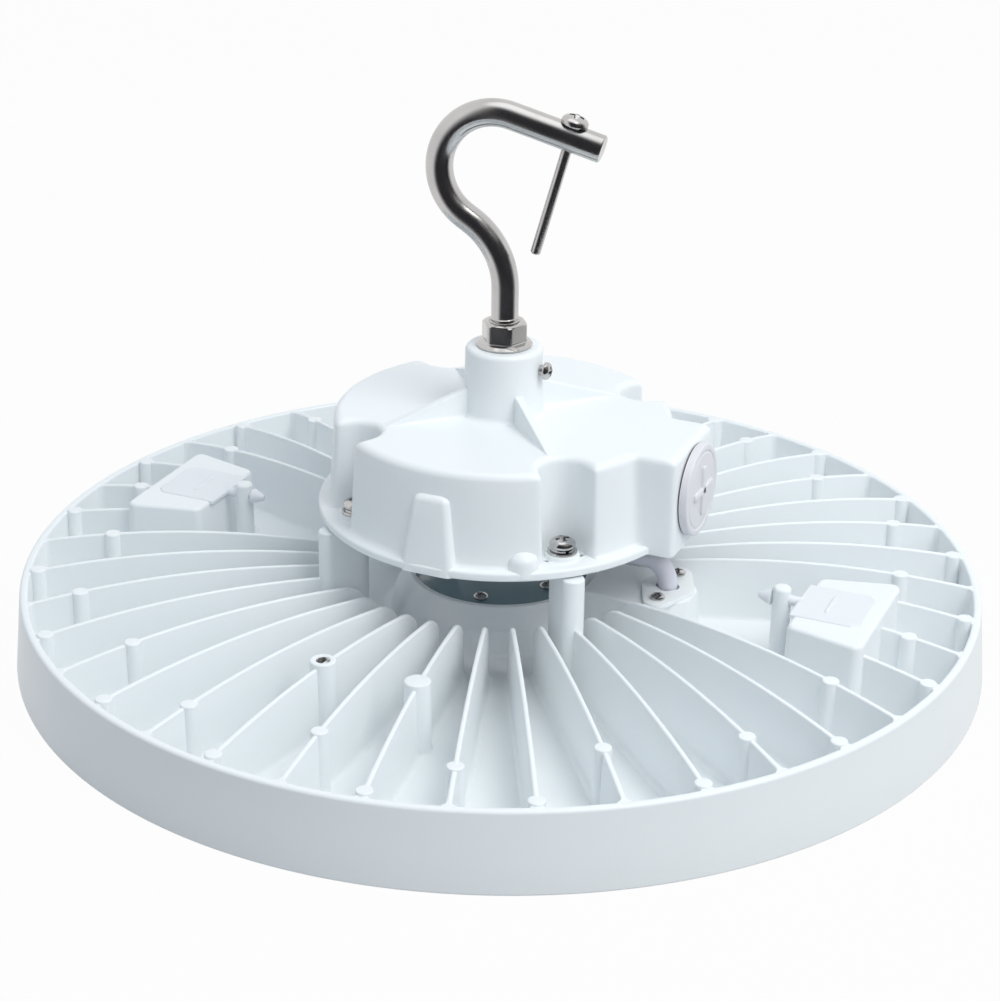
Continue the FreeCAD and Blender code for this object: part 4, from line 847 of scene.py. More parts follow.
    def pins(self) -> None:
        """Bosses of the moulding pins on the fins, and the tall ones for a bracket."""
        ring = self.shop.ring
        rises = (("far_pins", 158.0, 0.0, 10), ("near_pins", 150.0, 18.0, 10), ("rim_pins", 174.2, 9.0, 20))
        for name, circle, start, count in rises:
            top = self.rim_top + self.pin_slope * (self.rim_radius - circle)
            ring(name, self.boss(name + "_one", self.pin_radius, top), Slot.CASTING, count, "housing",
                 radius=circle, start=start)
        for name, start, hole in (("bracket_bosses", 81.0, self.bracket_hole), ("closed_bosses", 99.0, 0.0)):
            ring(name, self.boss(name + "_one", self.tall_radius, self.tall_top, hole), Slot.CASTING, 2,
                 "housing", radius=self.tall_circle, start=start)
        ring("bracket_threads", self.thread_insert(self.tall_top - 0.3), Slot.STEEL, 2,
             radius=self.tall_circle, start=81.0)

    def thread_insert(self, top: float) -> bpy.types.Object:
        """Steel thread insert in the hole of a bracket boss, closed below."""
        depth, outer, root, crest, pitch = 9.0, 2.47, 2.32, 1.98, 0.8
        corners = [(0.0, top - depth - 0.5, 0.0), (outer, top - depth - 0.5, 0.1), (outer, top, 0.05)]
        for turn in range(round(depth / pitch)):
            corners += [(root, top - pitch * turn, 0.05), (crest, top - pitch * (turn + 0.5), 0.05)]
        corners += [(root, top - depth, 0.0), (0.0, top - depth, 0.0)]
        return turned("thread_insert", rounded(corners, closed=False), segments=40)

    def post(self) -> bpy.types.Object:
        """One post along +X: a round pillar with a lower lobe on its outer side."""
        waist, waist_place, waist_reach = 0.8, 63.0, 4.0

        def outline(grow: float) -> list[Point]:
            """Both rounds with a waist between them, grown by a distance."""
            points = []
            for out, size, first in ((0.0, self.post_radius, 90), (self.lobe_gap, self.lobe_radius, -90)):
                for step in range(17):
                    turn = math.radians(first + 180 * step / 16)
                    points.append((self.post_circle + out + (size + grow) * math.cos(turn),
                                   (size + grow) * math.sin(turn)))
            return [(x, y - math.copysign(waist, y) * max(0.0, 1 - abs(x - waist_place) / waist_reach))
                    for x, y in points]

        return standing("post", outline, self.floor, 3.0, self.post_top - 0.6, 0.7)

    def posts(self) -> None:
        """Four posts, each with the round seat under the driver housing."""
        self.shop.ring("posts", self.post(), Slot.CASTING, 4, "housing", start=45.0)
        size, bore = self.post_radius, 2.65
        seat = turned("post_seat", rounded([(size, 50.0, 0.0), (size, self.post_top, 0.4),
                                            (bore, self.post_top, 0.2), (bore, 41.0, 0.0)], closed=False),
                      segments=48)
        self.shop.ring("post_seats", seat, Slot.CASTING, 4, "housing", radius=self.post_circle, start=45.0)

    def entry_boss(self) -> bpy.types.Object:
        """Raised boss under the plate where the lead goes in."""
        outline = rounded([(37.0, -14.0, 3.0), (66.0, -18.6, 7.0), (78.2, -6.0, 5.0), (78.2, 6.0, 5.0),
                           (66.0, 18.6, 7.0), (37.0, 14.0, 3.0)], 8)
        return standing("entry_boss", lambda grow: moved_out(outline, grow), self.floor, 4.5,
                        self.floor + 20.6, 0.9, inset=1.2)

    def build(self) -> None:
        """Build the whole casting."""
        self.shop.fit(self.shell(), Slot.CASTING, "housing")
        self.fins()
        self.pins()
        self.posts()
        self.shop.fit(self.entry_boss(), Slot.CASTING, "housing")


# ---------------------------------------------------------------- selector boxes

@dataclass
class SelectorBoxes:
    """Both selector boxes with their silicone covers and tethers."""

    shop: Workshop
    floor: float = 11.4
    inner: float = 118.0
    outer: float = 148.6
    inner_half: float = 22.3
    outer_half: float = 29.5
    top: float = 38.2
    corner: float = 4.0
    cover_inner: float = 117.2
    cover_outer: float = 143.0
    cover_half: float = 13.5
    cover_rise: float = 0.5
    tether_level: float = 37.4
    post_place: float = 110.6
    post_radius: float = 3.3
    post_top: float = 42.4

    def outline(self, grow: float) -> list[Point]:
        """Box outline grown by a distance."""
        inner, outer = self.inner - grow, self.outer + grow
        corner = max(self.corner + grow, 0.6)
        return rounded([(inner, -self.inner_half - grow, corner), (outer, -self.outer_half - grow, corner),
                        (outer, self.outer_half + grow, corner), (inner, self.inner_half + grow, corner)], 8)

    def box(self) -> bpy.types.Object:
        """One box, from its filleted foot to its rounded top edge."""
        return standing("selector_box", self.outline, self.floor, 3.0, self.top, 1.6, 0.7, 6)

    def cover(self) -> bpy.types.Object:
        """Silicone cover: a thin plate with cut corners and soft edges; the ridge across it is built by
        ridge.
        """
        chamfer = 3.0

        def outline(grow: float) -> list[Point]:
            """Cover outline grown by a distance."""
            inner, outer, half = self.cover_inner - grow, self.cover_outer + grow, self.cover_half + grow
            side = [(inner, half), (outer - chamfer, half), (outer, half - chamfer)]
            points = [(x, -y) for x, y in side] + side[::-1]
            return rounded([(x, y, 0.8) for x, y in points], 4)

        edge = 0.5
        loops = [level(outline(0.0), self.top - 1.0)]
        loops += [level(outline(-edge * fall), self.top + self.cover_rise - edge * (1 - sine))
                  for sine, fall in quarter(4)]
        return loft("selector_lid", loops)

    def ridge(self) -> bpy.types.Object:
        """Low pull across the cover."""
        loops = []
        for grow, lift in ((0.0, -0.2), (-0.1, 0.25), (-0.3, 0.5), (-0.6, 0.6)):
            points = oblong(128.2 - grow, 129.8 + grow, -7.0 - grow, 7.0 + grow, 0.5, 3)
            loops.append(level(points, self.top + self.cover_rise + lift))
        return loft("selector_pull", loops)

    def tether(self) -> bpy.types.Object:
        """Strap from the cover through its post, with a pointed tail."""
        neck, head, tip = 1.9, 3.3, 1.1
        start, stop, end = -self.cover_inner - 2.0, -107.0, -101.8
        profile = rounded([(0.0, start, 0.0), (neck, start, 0.3), (neck, -self.post_place + 3.4, 0.0),
                           (neck, -self.post_place, 0.0), (neck, stop, 0.3), (head, stop, 0.5),
                           (tip, end, 0.5), (0.0, end, 0.0)], closed=False)
        place = Matrix.Translation((0, 0, self.tether_level)) @ Matrix.Rotation(math.radians(-90), 4, "Y")
        return turned("selector_tether", profile, 28, place=place)

    def tether_post(self) -> bpy.types.Object:
        """Round post that the tether goes through, with a domed top."""
        radius = self.post_radius
        profile = rounded([(radius + 3.2, self.floor - 0.4, 0.0), (radius + 0.3, self.floor + 0.2, 2.6),
                           (radius, self.post_top, 1.4), (0.0, self.post_top, 0.0)], closed=False)
        return turned("tether_post", profile, segments=40)

    def build(self) -> None:
        """Build both boxes."""
        ring = self.shop.ring
        ring("selector_boxes", self.box(), Slot.CASTING, 2, "housing")
        ring("selector_lids", self.cover(), Slot.SILICONE, 2, "selector_cover_front", "selector_cover_back")
        ring("selector_pulls", self.ridge(), Slot.SILICONE, 2)
        ring("selector_tethers", self.tether(), Slot.SILICONE, 2)
        ring("tether_posts", self.tether_post(), Slot.CASTING, 2, "housing", radius=self.post_place)


# ---------------------------------------------------------------- driver housing

@dataclass
class DriverHousing:
    """Raised casting that holds the driver, with its notches, wing, ear, webs and collar."""

    shop: Workshop
    bottom: float = 54.6
    flange_radius: float = 68.7
    flange_top: float = 57.9
    foot_radius: float = 64.6
    top_draft: float = 2.2
    top: float = 92.4
    edge: float = 2.7
    wing_reach: float = 75.0
    wing_half: float = 20.4
    notch_circle: float = 57.5
    notch_radius: float = 8.5
    seat_top: float = 59.7
    collar_foot: float = 14.8
    collar_radius: float = 14.2
    collar_top: float = 117.9

    def plan(self, radius: float, reach: float, half: float, notch: float, passes: int) -> list[Point]:
        """Outline seen from above, always of the same count of points.

        Args:
            radius: radius of the round part.
            reach: distance to the wing's end.
            half: half the wing's width.
            notch: radius of the screw notches, or 0 for none.
            passes: how much the corners are softened.

        Returns:
            The outline.
        """
        points: list[Point] = []

        def span(start: Point, end: Point, count: int) -> None:
            """Straight piece without its end."""
            points.extend(tuple(low + (high - low) * i / count for low, high in zip(start, end))
                          for i in range(count))

        def sweep(centre: Point, size: float, start: float, end: float, count: int) -> None:
            """Round piece between two angles in degrees, without its end."""
            for i in range(count):
                angle = math.radians(start + (end - start) * i / count)
                points.append((centre[0] + size * math.cos(angle), centre[1] + size * math.sin(angle)))

        def at(distance: float, degrees: float) -> Point:
            """Point by distance and angle."""
            return (distance * math.cos(math.radians(degrees)), distance * math.sin(math.radians(degrees)))

        wing_steps, flank_steps, wall_steps, cheek_steps, notch_steps = 29, 20, 117, 11, 36
        junction = math.degrees(math.asin(half / radius))
        open_by = math.degrees(math.asin((notch or self.notch_radius) / self.notch_circle))
        span((reach, 0.0), (reach, half), wing_steps)
        span((reach, half), at(radius, junction), flank_steps)
        here = junction
        for turn in (45.0, 135.0, 225.0, 315.0):
            sweep((0.0, 0.0), radius, here, turn - open_by, wing_steps if turn == 45.0 else wall_steps)
            here = turn + open_by
            if notch:
                inner = math.sqrt(self.notch_circle ** 2 - notch ** 2)
                span(at(radius, turn - open_by), at(inner, turn - open_by), cheek_steps)
                sweep(at(self.notch_circle, turn), notch, turn - open_by - 90, turn + open_by - 270,
                      notch_steps)
                span(at(inner, here), at(radius, here), cheek_steps)
            else:
                sweep((0.0, 0.0), radius, turn - open_by, here, 2 * cheek_steps + notch_steps)
        sweep((0.0, 0.0), radius, here, 360.0 - junction, wing_steps)
        span(at(radius, -junction), (reach, -half), flank_steps)
        span((reach, -half), (reach, 0.0), wing_steps)
        return softened(points, passes)

    def can(self) -> bpy.types.Object:
        """Wall and top, with soft edges and a filleted foot."""

        def at(z: float, grow: float, foot: float = 0.0) -> Loop:
            """Outline at a height, grown, with extra growth of the round wall where the foot flares."""
            draft = self.top_draft * max(z - self.flange_top, 0.0) / (self.top - self.flange_top)
            passes = 12 + round(7 * max(-grow, 0.0))
            wing_grow = grow - draft * 0.15
            return level(self.plan(self.foot_radius + grow + foot - draft, self.wing_reach + wing_grow,
                                   self.wing_half + wing_grow, self.notch_radius - grow + draft * 0.3,
                                   passes), z)

        loops = [at(self.bottom + 3.0, -2.2), at(self.bottom + 0.01, -2.2), at(self.bottom, -0.5),
                 at(self.bottom + 0.5, 0.0)]
        loops += [at(self.flange_top - 0.3, 0.0, 1.3), at(self.flange_top + 0.05, 0.0, 1.1),
                  at(self.flange_top + 0.35, 0.0, 0.55), at(self.flange_top + 0.9, 0.0, 0.15),
                  at(self.flange_top + 1.6, 0.0)]
        wall_top = self.top - self.edge
        loops += [at(self.flange_top + (wall_top - self.flange_top) * step / 6, 0.0) for step in range(1, 7)]
        loops += [at(wall_top + self.edge * sine, -self.edge * fall) for sine, fall in quarter(7, 1)]
        return loft("driver_can", loops)

    def flange(self) -> bpy.types.Object:
        """Flat flange round the foot, open in the middle for the bottom plate."""

        def at(z: float, grow: float) -> Loop:
            """Outline at a height."""
            return level(self.plan(self.flange_radius + grow, self.wing_reach - 0.3 + grow,
                                   self.wing_half - 0.3 + grow, 0.0, 6), z)

        width, low_edge, edge = 9.3, 0.6, 1.0
        loops = [at(self.flange_top, -width), at(self.bottom, -width), at(self.bottom, -low_edge)]
        loops += [at(self.bottom + low_edge * sine, -low_edge * (1 - sine)) for sine, _ in quarter(3, 1)]
        for degrees in (0, 22, 45, 68, 90):
            turn = math.radians(degrees)
            loops.append(at(self.flange_top - edge + edge * math.sin(turn), -edge * (1 - math.cos(turn))))
        return loft("driver_flange", loops, ring=True)

    def collar(self) -> bpy.types.Object:
        """Collar for the hook, with a wide fillet at its foot."""
        bore, depth = 5.2, 20.0
        profile = rounded([(self.collar_foot + 5.0, self.top - 0.05, 0.0), (self.collar_foot, self.top, 4.2),
                           (self.collar_radius, self.collar_top, 2.0), (bore, self.collar_top, 0.4),
                           (bore, self.collar_top - depth, 0.3), (0.0, self.collar_top - depth, 0.0)],
                          steps=8, closed=False)
        return turned("hook_collar", profile, segments=96)

    def web(self) -> bpy.types.Object:
        """Sloping web along +X from the collar towards a notch."""
        start, end, peak = self.collar_radius - 2.0, 46.0, 10.4
        sections = []
        for step in range(13):
            radius = start + (end - start) * step / 12
            rise = max(peak * (1 - max(radius - self.collar_foot, 0) / (end - self.collar_foot)), 0.05)
            blade = Blade(self.top, 1.75, 0.02, min(1.4, rise * 0.5), min(0.6, rise * 0.5))
            sections.append(blade.section(radius, self.top + rise))
        return loft("collar_web", sections)

    def ear(self) -> bpy.types.Object:
        """Tapered ear on the front wall."""
        top, low_half, high_half, reach, lean, depth, edge = 83.2, 10.2, 6.6, 68.6, 3.9, 12.0, 2.6
        rows = [(z, 0.0) for z in (self.bottom, self.bottom + 1.0, 58.0, 66.0, 74.0, top - edge)]
        rows += [(top - edge + edge * sine, edge * fall) for sine, fall in quarter(6, 1)]
        loops = []
        for z, inset in rows:
            rise = (z - self.bottom) / (top - self.bottom)
            half = low_half + (high_half - low_half) * rise - inset
            front = lean * rise + inset - reach
            loops.append(level(rounded([(half, front + depth, 0.0), (-half, front + depth, 0.0),
                                        (-half, front, 2.4), (half, front, 2.4)], 5), z))
        return loft("front_ear", loops)

    def lug(self) -> bpy.types.Object:
        """Domed lug on the flange beside the ear."""
        radius, top, crown = 5.6, 64.2, 4.2
        dome = [(radius * (1 - fall), top - crown + crown * sine) for sine, fall in quarter(9)]
        profile = [(radius + 0.6, self.bottom + 1.0), (radius + 0.35, self.flange_top)] + dome
        return turned("flange_lug", profile, 48, place=Matrix.Translation(polar(62.8, 300.0)))

    def build(self) -> None:
        """Build the whole casting."""
        shop = self.shop
        for piece in (self.can(), self.flange(), self.collar(), self.ear(), self.lug()):
            shop.fit(piece, Slot.CASTING, "driver_cover")
        shop.ring("collar_webs", self.web(), Slot.CASTING, 4, "driver_cover", start=45.0)
        seat = turned("screw_seat", rounded([
            (7.4, self.flange_top - 0.3, 0.0), (6.2, self.flange_top + 0.1, 0.8),
            (5.9, self.seat_top, 0.5), (0.0, self.seat_top, 0.0)], closed=False), segments=48)
        shop.ring("screw_seats", seat, Slot.CASTING, 4, "driver_cover", radius=self.notch_circle, start=45.0)
        size = 12.4
        tower = turned("notch_tower", rounded([
            (0.0, self.bottom, 0.0), (size, self.bottom, 0.6),
            (size, self.flange_top, 0.0), (0.0, self.flange_top, 0.0)], closed=False), segments=64)
        shop.ring("notch_towers", tower, Slot.CASTING, 4, "driver_cover", radius=49.5, start=45.0)


# ---------------------------------------------------------------- screws, washers, plug

def pan_screw(name: str, shank: float, head: float, height: float, length: float) -> bpy.types.Object:
    """Pan-headed screw with a cross recess, standing on z = 0 with its shank below.

    Args:
        name: name of the object.
        shank: shank radius.
        head: head radius.
        height: head height.
        length: shank length.

    Returns:
        The screw.
    """
    dome = [(head * (1 - fall), height * (0.30 + 0.70 * sine)) for sine, fall in quarter(9)[:9]]
    profile = [(0.0, -length), (shank * 0.8, -length), (shank, -length + shank * 0.3), (shank, -0.01),
               (head * 0.96, 0.0), (head, height * 0.12)] + dome + [(0.0, height)]
    body = turned(name, profile, 48)
    arm, width, depth = head * 0.55, head * 0.16, height * 0.55
    cutter_mesh = bmesh.new()
    for turn in (0, 90):
        spin = Matrix.Rotation(math.radians(turn), 3, "Z")
        shapes = [(arm, width, height * 1.2), (arm, width, height - depth * 0.35),
                  (arm * 0.35, width * 0.7, height - depth)]
        rings = [[spin @ Vector((x * w, y * h, z)) for x, y in ((1, 1), (-1, 1), (-1, -1), (1, -1))]
                 for w, h, z in shapes]
        add_loft(cutter_mesh, rings)
    cutter = as_object(cutter_mesh, name + "_recess")
    modifier = body.modifiers.new("recess", "BOOLEAN")
    modifier.operation = "DIFFERENCE"
    modifier.object = cutter
    modifier.solver = "EXACT"
    modifier.use_self = True
    mesh = bpy.data.meshes.new_from_object(body.evaluated_get(bpy.context.evaluated_depsgraph_get()))
    mesh.shade_smooth()
    mesh.set_sharp_from_angle(angle=math.radians(30))
    body.modifiers.clear()
    body.data = mesh
    bpy.data.objects.remove(cutter)
    return body


def spring_washer(radius: float, bore: float, thickness: float) -> bpy.types.Object:
    """Split washer whose ends stand apart."""
    gap, steps = 16, 48
    corners = oblong(bore, radius, 0.0, thickness, 0.15, 2)
    sections = []
    for step in range(steps + 1):
        degrees = gap / 2 + (360 - gap) * step / steps
        rise = thickness * 0.25 * (step / steps - 0.5)
        sections.append([polar(r, degrees, z + rise) for r, z in corners])
    return loft("spring_washer", sections)


@dataclass
class Fixings:
    """Screws and washers that show."""

    shop: Workshop
    seat: float = 59.7
    circle: float = 57.5
    hub_level: float = 23.4
    hub_circle: float = 19.0
    entry_level: float = 33.6
    entry_place: float = 67.0
    entry_half: float = 11.3

    def build(self) -> None:
        """Build every screw and washer group that shows from above."""

        def lifted(piece: bpy.types.Object, height: float) -> bpy.types.Object:
            """Raise a piece in its own mesh."""
            piece.data.transform(Matrix.Translation((0, 0, height * MM)))
            return piece

        flat = turned("flat_washer", rounded([(2.7, 0.0, 0.1), (5.4, 0.0, 0.2), (5.4, 1.0, 0.25),
                                              (2.7, 1.0, 0.2)], 3), 48, ring=True)
        for name, piece, height, node in (
                ("seat_washers", flat, self.seat, "flat_washers"),
                ("lock_washers", spring_washer(4.6, 2.65, 1.2), self.seat + 1.0, "spring_washers"),
                ("cover_screws", pan_screw("m5", 2.45, 4.75, 3.2, 20.0), self.seat + 2.3, "driver_screws")):
            self.shop.ring(name, lifted(piece, height), Slot.STEEL, 4, node, radius=self.circle, start=45.0)
        self.shop.ring("hub_plate_screws", lifted(pan_screw("m3", 1.45, 2.8, 1.9, 5.0), self.hub_level),
                       Slot.STEEL, 4, "hub_screws", radius=self.hub_circle)
        screw = pan_screw("m3_entry", 1.45, 2.8, 1.9, 8.0)
        joined = bmesh.new()
        for side in (1, -1):
            copy = screw.data.copy()
            spot = Vector((self.entry_place, side * self.entry_half, self.entry_level)) * MM
            copy.transform(Matrix.Translation(spot) @ Matrix.Rotation(0.5 * side, 4, "Z"))
            joined.from_mesh(copy)
        bpy.data.objects.remove(screw)
        self.shop.fit(as_object(joined, "plate_screws"), Slot.STEEL, "entry_screws")


@dataclass
class BlankingPlug:
    """Plug on the wing's end, with its cross rib and seal."""

    shop: Workshop
    face: float = 75.0
    height: float = 74.4
    radius: float = 17.0
    flange: float = 2.6
    seal: float = 0.8

    def build(self) -> None:
        """Build the plug and its rib."""
        place = placed(Vector((self.face + self.seal, 0, self.height)), Vector((1, 0, 0)))
        radius, flange = self.radius, self.flange
        profile = rounded([(0.0, -8.0, 0.0), (14.0, -8.0, 1.0), (14.0, 0.0, 0.0), (radius - 0.6, 0.0, 0.0),
                           (radius - 0.3, -0.5, 0.0), (radius, -0.5, 0.2),
                           (radius, flange, 0.9), (radius - 2.2, flange, 0.4),
                           (radius - 2.8, flange - 0.5, 0.4), (radius - 3.4, flange, 0.4),
                           (0.0, flange, 0.0)], closed=False)
        self.shop.fit(turned("blanking_plug", profile, 96, place=place), Slot.PLUG, "entry_plug")
        ribs = bmesh.new()
        for long_half, short_half in ((9.5, 1.5), (1.5, 9.5)):
            loops = []
            for inset, lift in ((0.0, -0.4), (0.0, 0.5), (0.25, 0.85), (0.6, 1.0)):
                points = oblong(inset - long_half, long_half - inset, inset - short_half, short_half - inset,
                                0.8, 4)
                loops.append([place @ Vector((x, y, flange + lift)) for x, y in points])
            add_loft(ribs, loops)
        self.shop.fit(as_object(ribs, "plug_cross"), Slot.PLUG)


# ---------------------------------------------------------------- hook

@dataclass
class Hook:
    """Bent rod with its nut, set screw and keeper."""

    shop: Workshop
    rod: float = 5.0
    lean: float = 7.0
    foot: float = 98.0
    stem_top: float = 139.4
    swan_bend: float = 29.2
    swan_turn: float = 56.8
    straight: float = 2.8
    eye_bend: float = 21.0
    eye_turn: float = 162.2
    tip: float = 34.4
    keeper_from_tip: float = 12.2
    grub_level: float = 110.2
    nut_level: float = 117.9
    nut_flange: float = 10.3
    nut_height: float = 9.4
    nut_flats: float = 14.9
    chamfer: float = 0.5
    sides: int = 48
    line: list[tuple[Vector, float]] = field(default_factory=list)

    def trace(self) -> None:
        """Centre line in the hook's plane: point and heading, in degrees from up towards +X."""
        here, heading = Vector((0.0, self.foot)), 0.0
        self.line = [(here.copy(), heading)]
        moves = ((self.stem_top - self.foot, 0.0, 8), (self.swan_bend, -self.swan_turn, 20),
                 (self.straight, 0.0, 1), (self.eye_bend, self.eye_turn, 48),
                 (self.tip - self.chamfer, 0.0, 8))
        for size, turn, steps in moves:
            for _ in range(steps):
                if turn:
                    part = math.radians(turn) / steps
                    chord = 2 * size * math.sin(abs(part) / 2)
                    ahead = math.radians(heading) + part / 2
                    heading += turn / steps
                else:
                    chord, ahead = size / steps, math.radians(heading)
                here = here + Vector((math.sin(ahead), math.cos(ahead))) * chord
                self.line.append((here.copy(), heading))

    def in_space(self, point: Vector) -> Vector:
        """Point of the hook's plane in the light's frame."""
        turn = math.radians(self.lean)
        return Vector((point.x * math.cos(turn), point.x * math.sin(turn), point.y))

    def way(self, heading: float) -> Vector:
        """Unit vector of a heading in the hook's plane."""
        angle = math.radians(heading)
        return Vector((math.sin(angle), math.cos(angle)))

    def ring_at(self, point: Vector, heading: float, radius: float) -> Loop:
        """Round section square to the centre line."""
        ahead = self.way(heading)
        side = self.in_space(Vector((ahead.y, -ahead.x)))
        across = polar(1.0, self.lean + 90)
        centre = self.in_space(point)
        return [centre + side * radius * math.cos(TURN * i / self.sides)
                + across * radius * math.sin(TURN * i / self.sides) for i in range(self.sides)]

    def bent_rod(self) -> bpy.types.Object:
        """Rod with a chamfer at its tip."""
        loops = [self.ring_at(point, heading, self.rod) for point, heading in self.line]
        end, heading = self.line[-1]
        loops.append(self.ring_at(end + self.way(heading) * self.chamfer, heading, self.rod - self.chamfer))
        return loft("bent_rod", loops)

    def nut(self) -> bpy.types.Object:
        """Flanged hexagon nut with chamfered corners."""
        start, segments, bore = self.nut_level, 72, self.rod + 0.1
        corner = self.nut_flats / 2 / math.cos(math.radians(30))

        def hexagon(angle: float, limit: float) -> float:
            """Radius of the hexagon at an angle, kept inside a round limit."""
            inside = (angle - math.radians(self.lean)) % math.radians(60) - math.radians(30)
            return min(self.nut_flats / 2 / math.cos(inside), limit)

        flange, height, inner = self.nut_flange, self.nut_height, self.nut_flats / 2
        rows: list[tuple[float, Callable[[float], float]]] = [
            (0.0, lambda a: bore), (0.0, lambda a: flange - 0.3),
            (0.3, lambda a: flange), (0.8, lambda a: flange),
            (1.7, lambda a: corner + 0.7), (2.0, lambda a: hexagon(a, corner + 0.15) + 0.25),
            (2.3, lambda a: hexagon(a, corner)), (height - 1.3, lambda a: hexagon(a, corner)),
            (height - 0.9, lambda a: hexagon(a, corner - 0.25)),
            (height - 0.45, lambda a: hexagon(a, corner - 0.75)),
            (height - 0.1, lambda a: inner - 0.35), (height, lambda a: inner - 0.6),
            (height, lambda a: bore + 0.7), (height - 0.7, lambda a: bore)]
        loops = [[polar(radius(TURN * i / segments), 360 * i / segments, start + lift)
                  for i in range(segments)] for lift, radius in rows]
        made = loft("flange_nut", loops, ring=True)
        made.data.set_sharp_from_angle(angle=math.radians(24))
        return made

    def thread(self) -> bpy.types.Object:
        """Few turns of the rod's thread above the nut."""
        foot, pitch, turns, steps = self.nut_level + self.nut_height - 1.0, 1.25, 2.4, 36
        root, crest, half = self.rod - 0.2, 0.42, 0.45
        sections = []
        for step in range(int(turns * steps) + 1):
            degrees = 360 * step / steps
            fade = max(min(1.0, step / 12, (turns * steps - step) / 30), 0.0)
            z = foot + pitch * step / steps
            sections.append([polar(root, degrees, z - half),
                             polar(self.rod + 0.02 + crest * fade, degrees, z),
                             polar(root, degrees, z + half)])
        return loft("rod_thread", sections)

    def build(self) -> None:
        """Build the hook and what is on it."""
        shop = self.shop
        self.trace()
        shop.fit(self.bent_rod(), Slot.STEEL, "hook")
        shop.fit(self.thread(), Slot.STEEL)
        shop.fit(self.nut(), Slot.STEEL, "hook_nut")
        shank = 11.2
        grub = pan_screw("set_screw", 1.95, 3.3, 2.5, shank)
        self.stand(grub, Vector((self.rod + shank, 0, self.grub_level)), Vector((1, 0, 0)))
        shop.fit(grub, Slot.STEEL, "hook_set_screw")
        end, heading = self.line[-1]
        along = self.way(heading)
        square = Vector((-along.y, along.x))
        spot = end + along * (self.chamfer - self.keeper_from_tip)
        keeper = pan_screw("keeper", 1.9, 4.9, 3.4, 50.0)
        self.stand(keeper, self.in_space(spot + square * self.rod), self.in_space(square))
        shop.fit(keeper, Slot.STEEL, "keeper_screw")

    def stand(self, piece: bpy.types.Object, at: Vector, toward: Vector) -> None:
        """Move a piece in its mesh so that its Z points toward, from a place in millimetres."""
        piece.data.transform(placed(at * MM, toward))


# ---------------------------------------------------------------- lead and its entry

@dataclass
class LeadEntry:
    """Lead from the driver housing down into the heat sink, and the plate it goes through."""

    shop: Workshop
    place: float = 67.0
    top: float = 32.0
    thickness: float = 1.6
    lead_radius: float = 3.6
    exit_place: float = 40.0
    exit_level: float = 60.4
    lead_length: float = 62.1
    run_level: float = 44.0
    end_level: float = 18.0

    def plate(self) -> bpy.types.Object:
        """Plate with two round ends, thinned to points of a rhombus, with the lead's hole."""
        corners = [(self.place - 10.4, 0.0, 8.0), (self.place, -25.5, 5.0), (self.place + 10.4, 0.0, 8.0),
                   (self.place, 25.5, 5.0)]
        outline = rounded(corners, 12)

        def at(inset: float, z: float) -> Loop:
            """Outline at a height, moved in."""
            return level(moved_out(outline, -inset), z)

        face, edge, bore = self.top + self.thickness, 0.4, self.lead_radius + 0.8
        loops = [at(0.0, self.top), at(0.0, face - edge), at(0.12, face - 0.12), at(edge, face)]
        centre = Vector((self.place, 0.0))
        hole = [centre + (Vector(point) - centre).normalized() * bore for point in moved_out(outline, -edge)]
        loops += [level(hole, face), level(hole, self.top + 0.2)]
        return loft("entry_cover", loops, last_cap=False)

    def lead(self) -> bpy.types.Object:
        """Soft sheath along the lead's route."""
        route = rounded([(self.exit_place, self.exit_level, 0.0), (self.exit_place, self.run_level, 7.4),
                         (self.place, self.run_level, 9.5), (self.place, self.end_level, 0.0)], 8,
                        closed=False)
        curve = bpy.data.curves.new("lead_sheath", "CURVE")
        curve.dimensions = "3D"
        spline = curve.splines.new("NURBS")
        spline.points.add(len(route) - 1)
        for point, (x, z) in zip(spline.points, route):
            point.co = (x * MM, 0.0, z * MM, 1.0)
        spline.order_u = 3
        spline.use_endpoint_u = True
        curve.resolution_u = 24
        curve.bevel_depth = self.lead_radius * MM
        curve.bevel_resolution = 10
        curve.use_fill_caps = True
        return linked("lead_sheath", curve)

    def build(self) -> None:
        """Build the plate and the lead."""
        self.shop.fit(self.plate(), Slot.CASTING, "entry_plate")
        lead = self.shop.fit(self.lead(), Slot.SHEATH, "led_lead")


# ---------------------------------------------------------------- studio

@dataclass
class Camera:
    """Camera at its given place, aim and lens."""

    lens: float = 85.652
    sensor: float = 36.0
    azimuth: float = 22.97
    elevation: float = 25.452
    distance: float = 0.905833
    height: float = 0.029356
    tilt: float = 1.5111
    pan: float = -0.0493
    roll: float = 0.834

    def build(self) -> None:
        """Create the camera and make it the scene's."""
        back = direction(self.azimuth, self.elevation)
        right = polar(1.0, self.azimuth)
        ahead = -back
        over = right.cross(ahead)
        tilt, pan, roll = (math.radians(value) for value in (self.tilt, self.pan, self.roll))
        tilted = ahead * math.cos(tilt) + over * math.sin(tilt)
        over = over * math.cos(tilt) - ahead * math.sin(tilt)
        panned = tilted * math.cos(pan) + right * math.sin(pan)
        right = right * math.cos(pan) - tilted * math.sin(pan)
        side = right * math.cos(roll) + over * math.sin(roll)
        over = over * math.cos(roll) - right * math.sin(roll)
        spot = back * self.distance + Vector((0, 0, self.height))
        camera = bpy.data.cameras.new("camera")
        camera.lens = self.lens
        camera.sensor_width = self.sensor
        camera.clip_start = 0.01
        made = linked("camera", camera)
        made.matrix_world = Matrix((
            (side.x, over.x, -panned.x, spot.x), (side.y, over.y, -panned.y, spot.y),
            (side.z, over.z, -panned.z, spot.z), (0, 0, 0, 1)))
        bpy.context.scene.camera = made


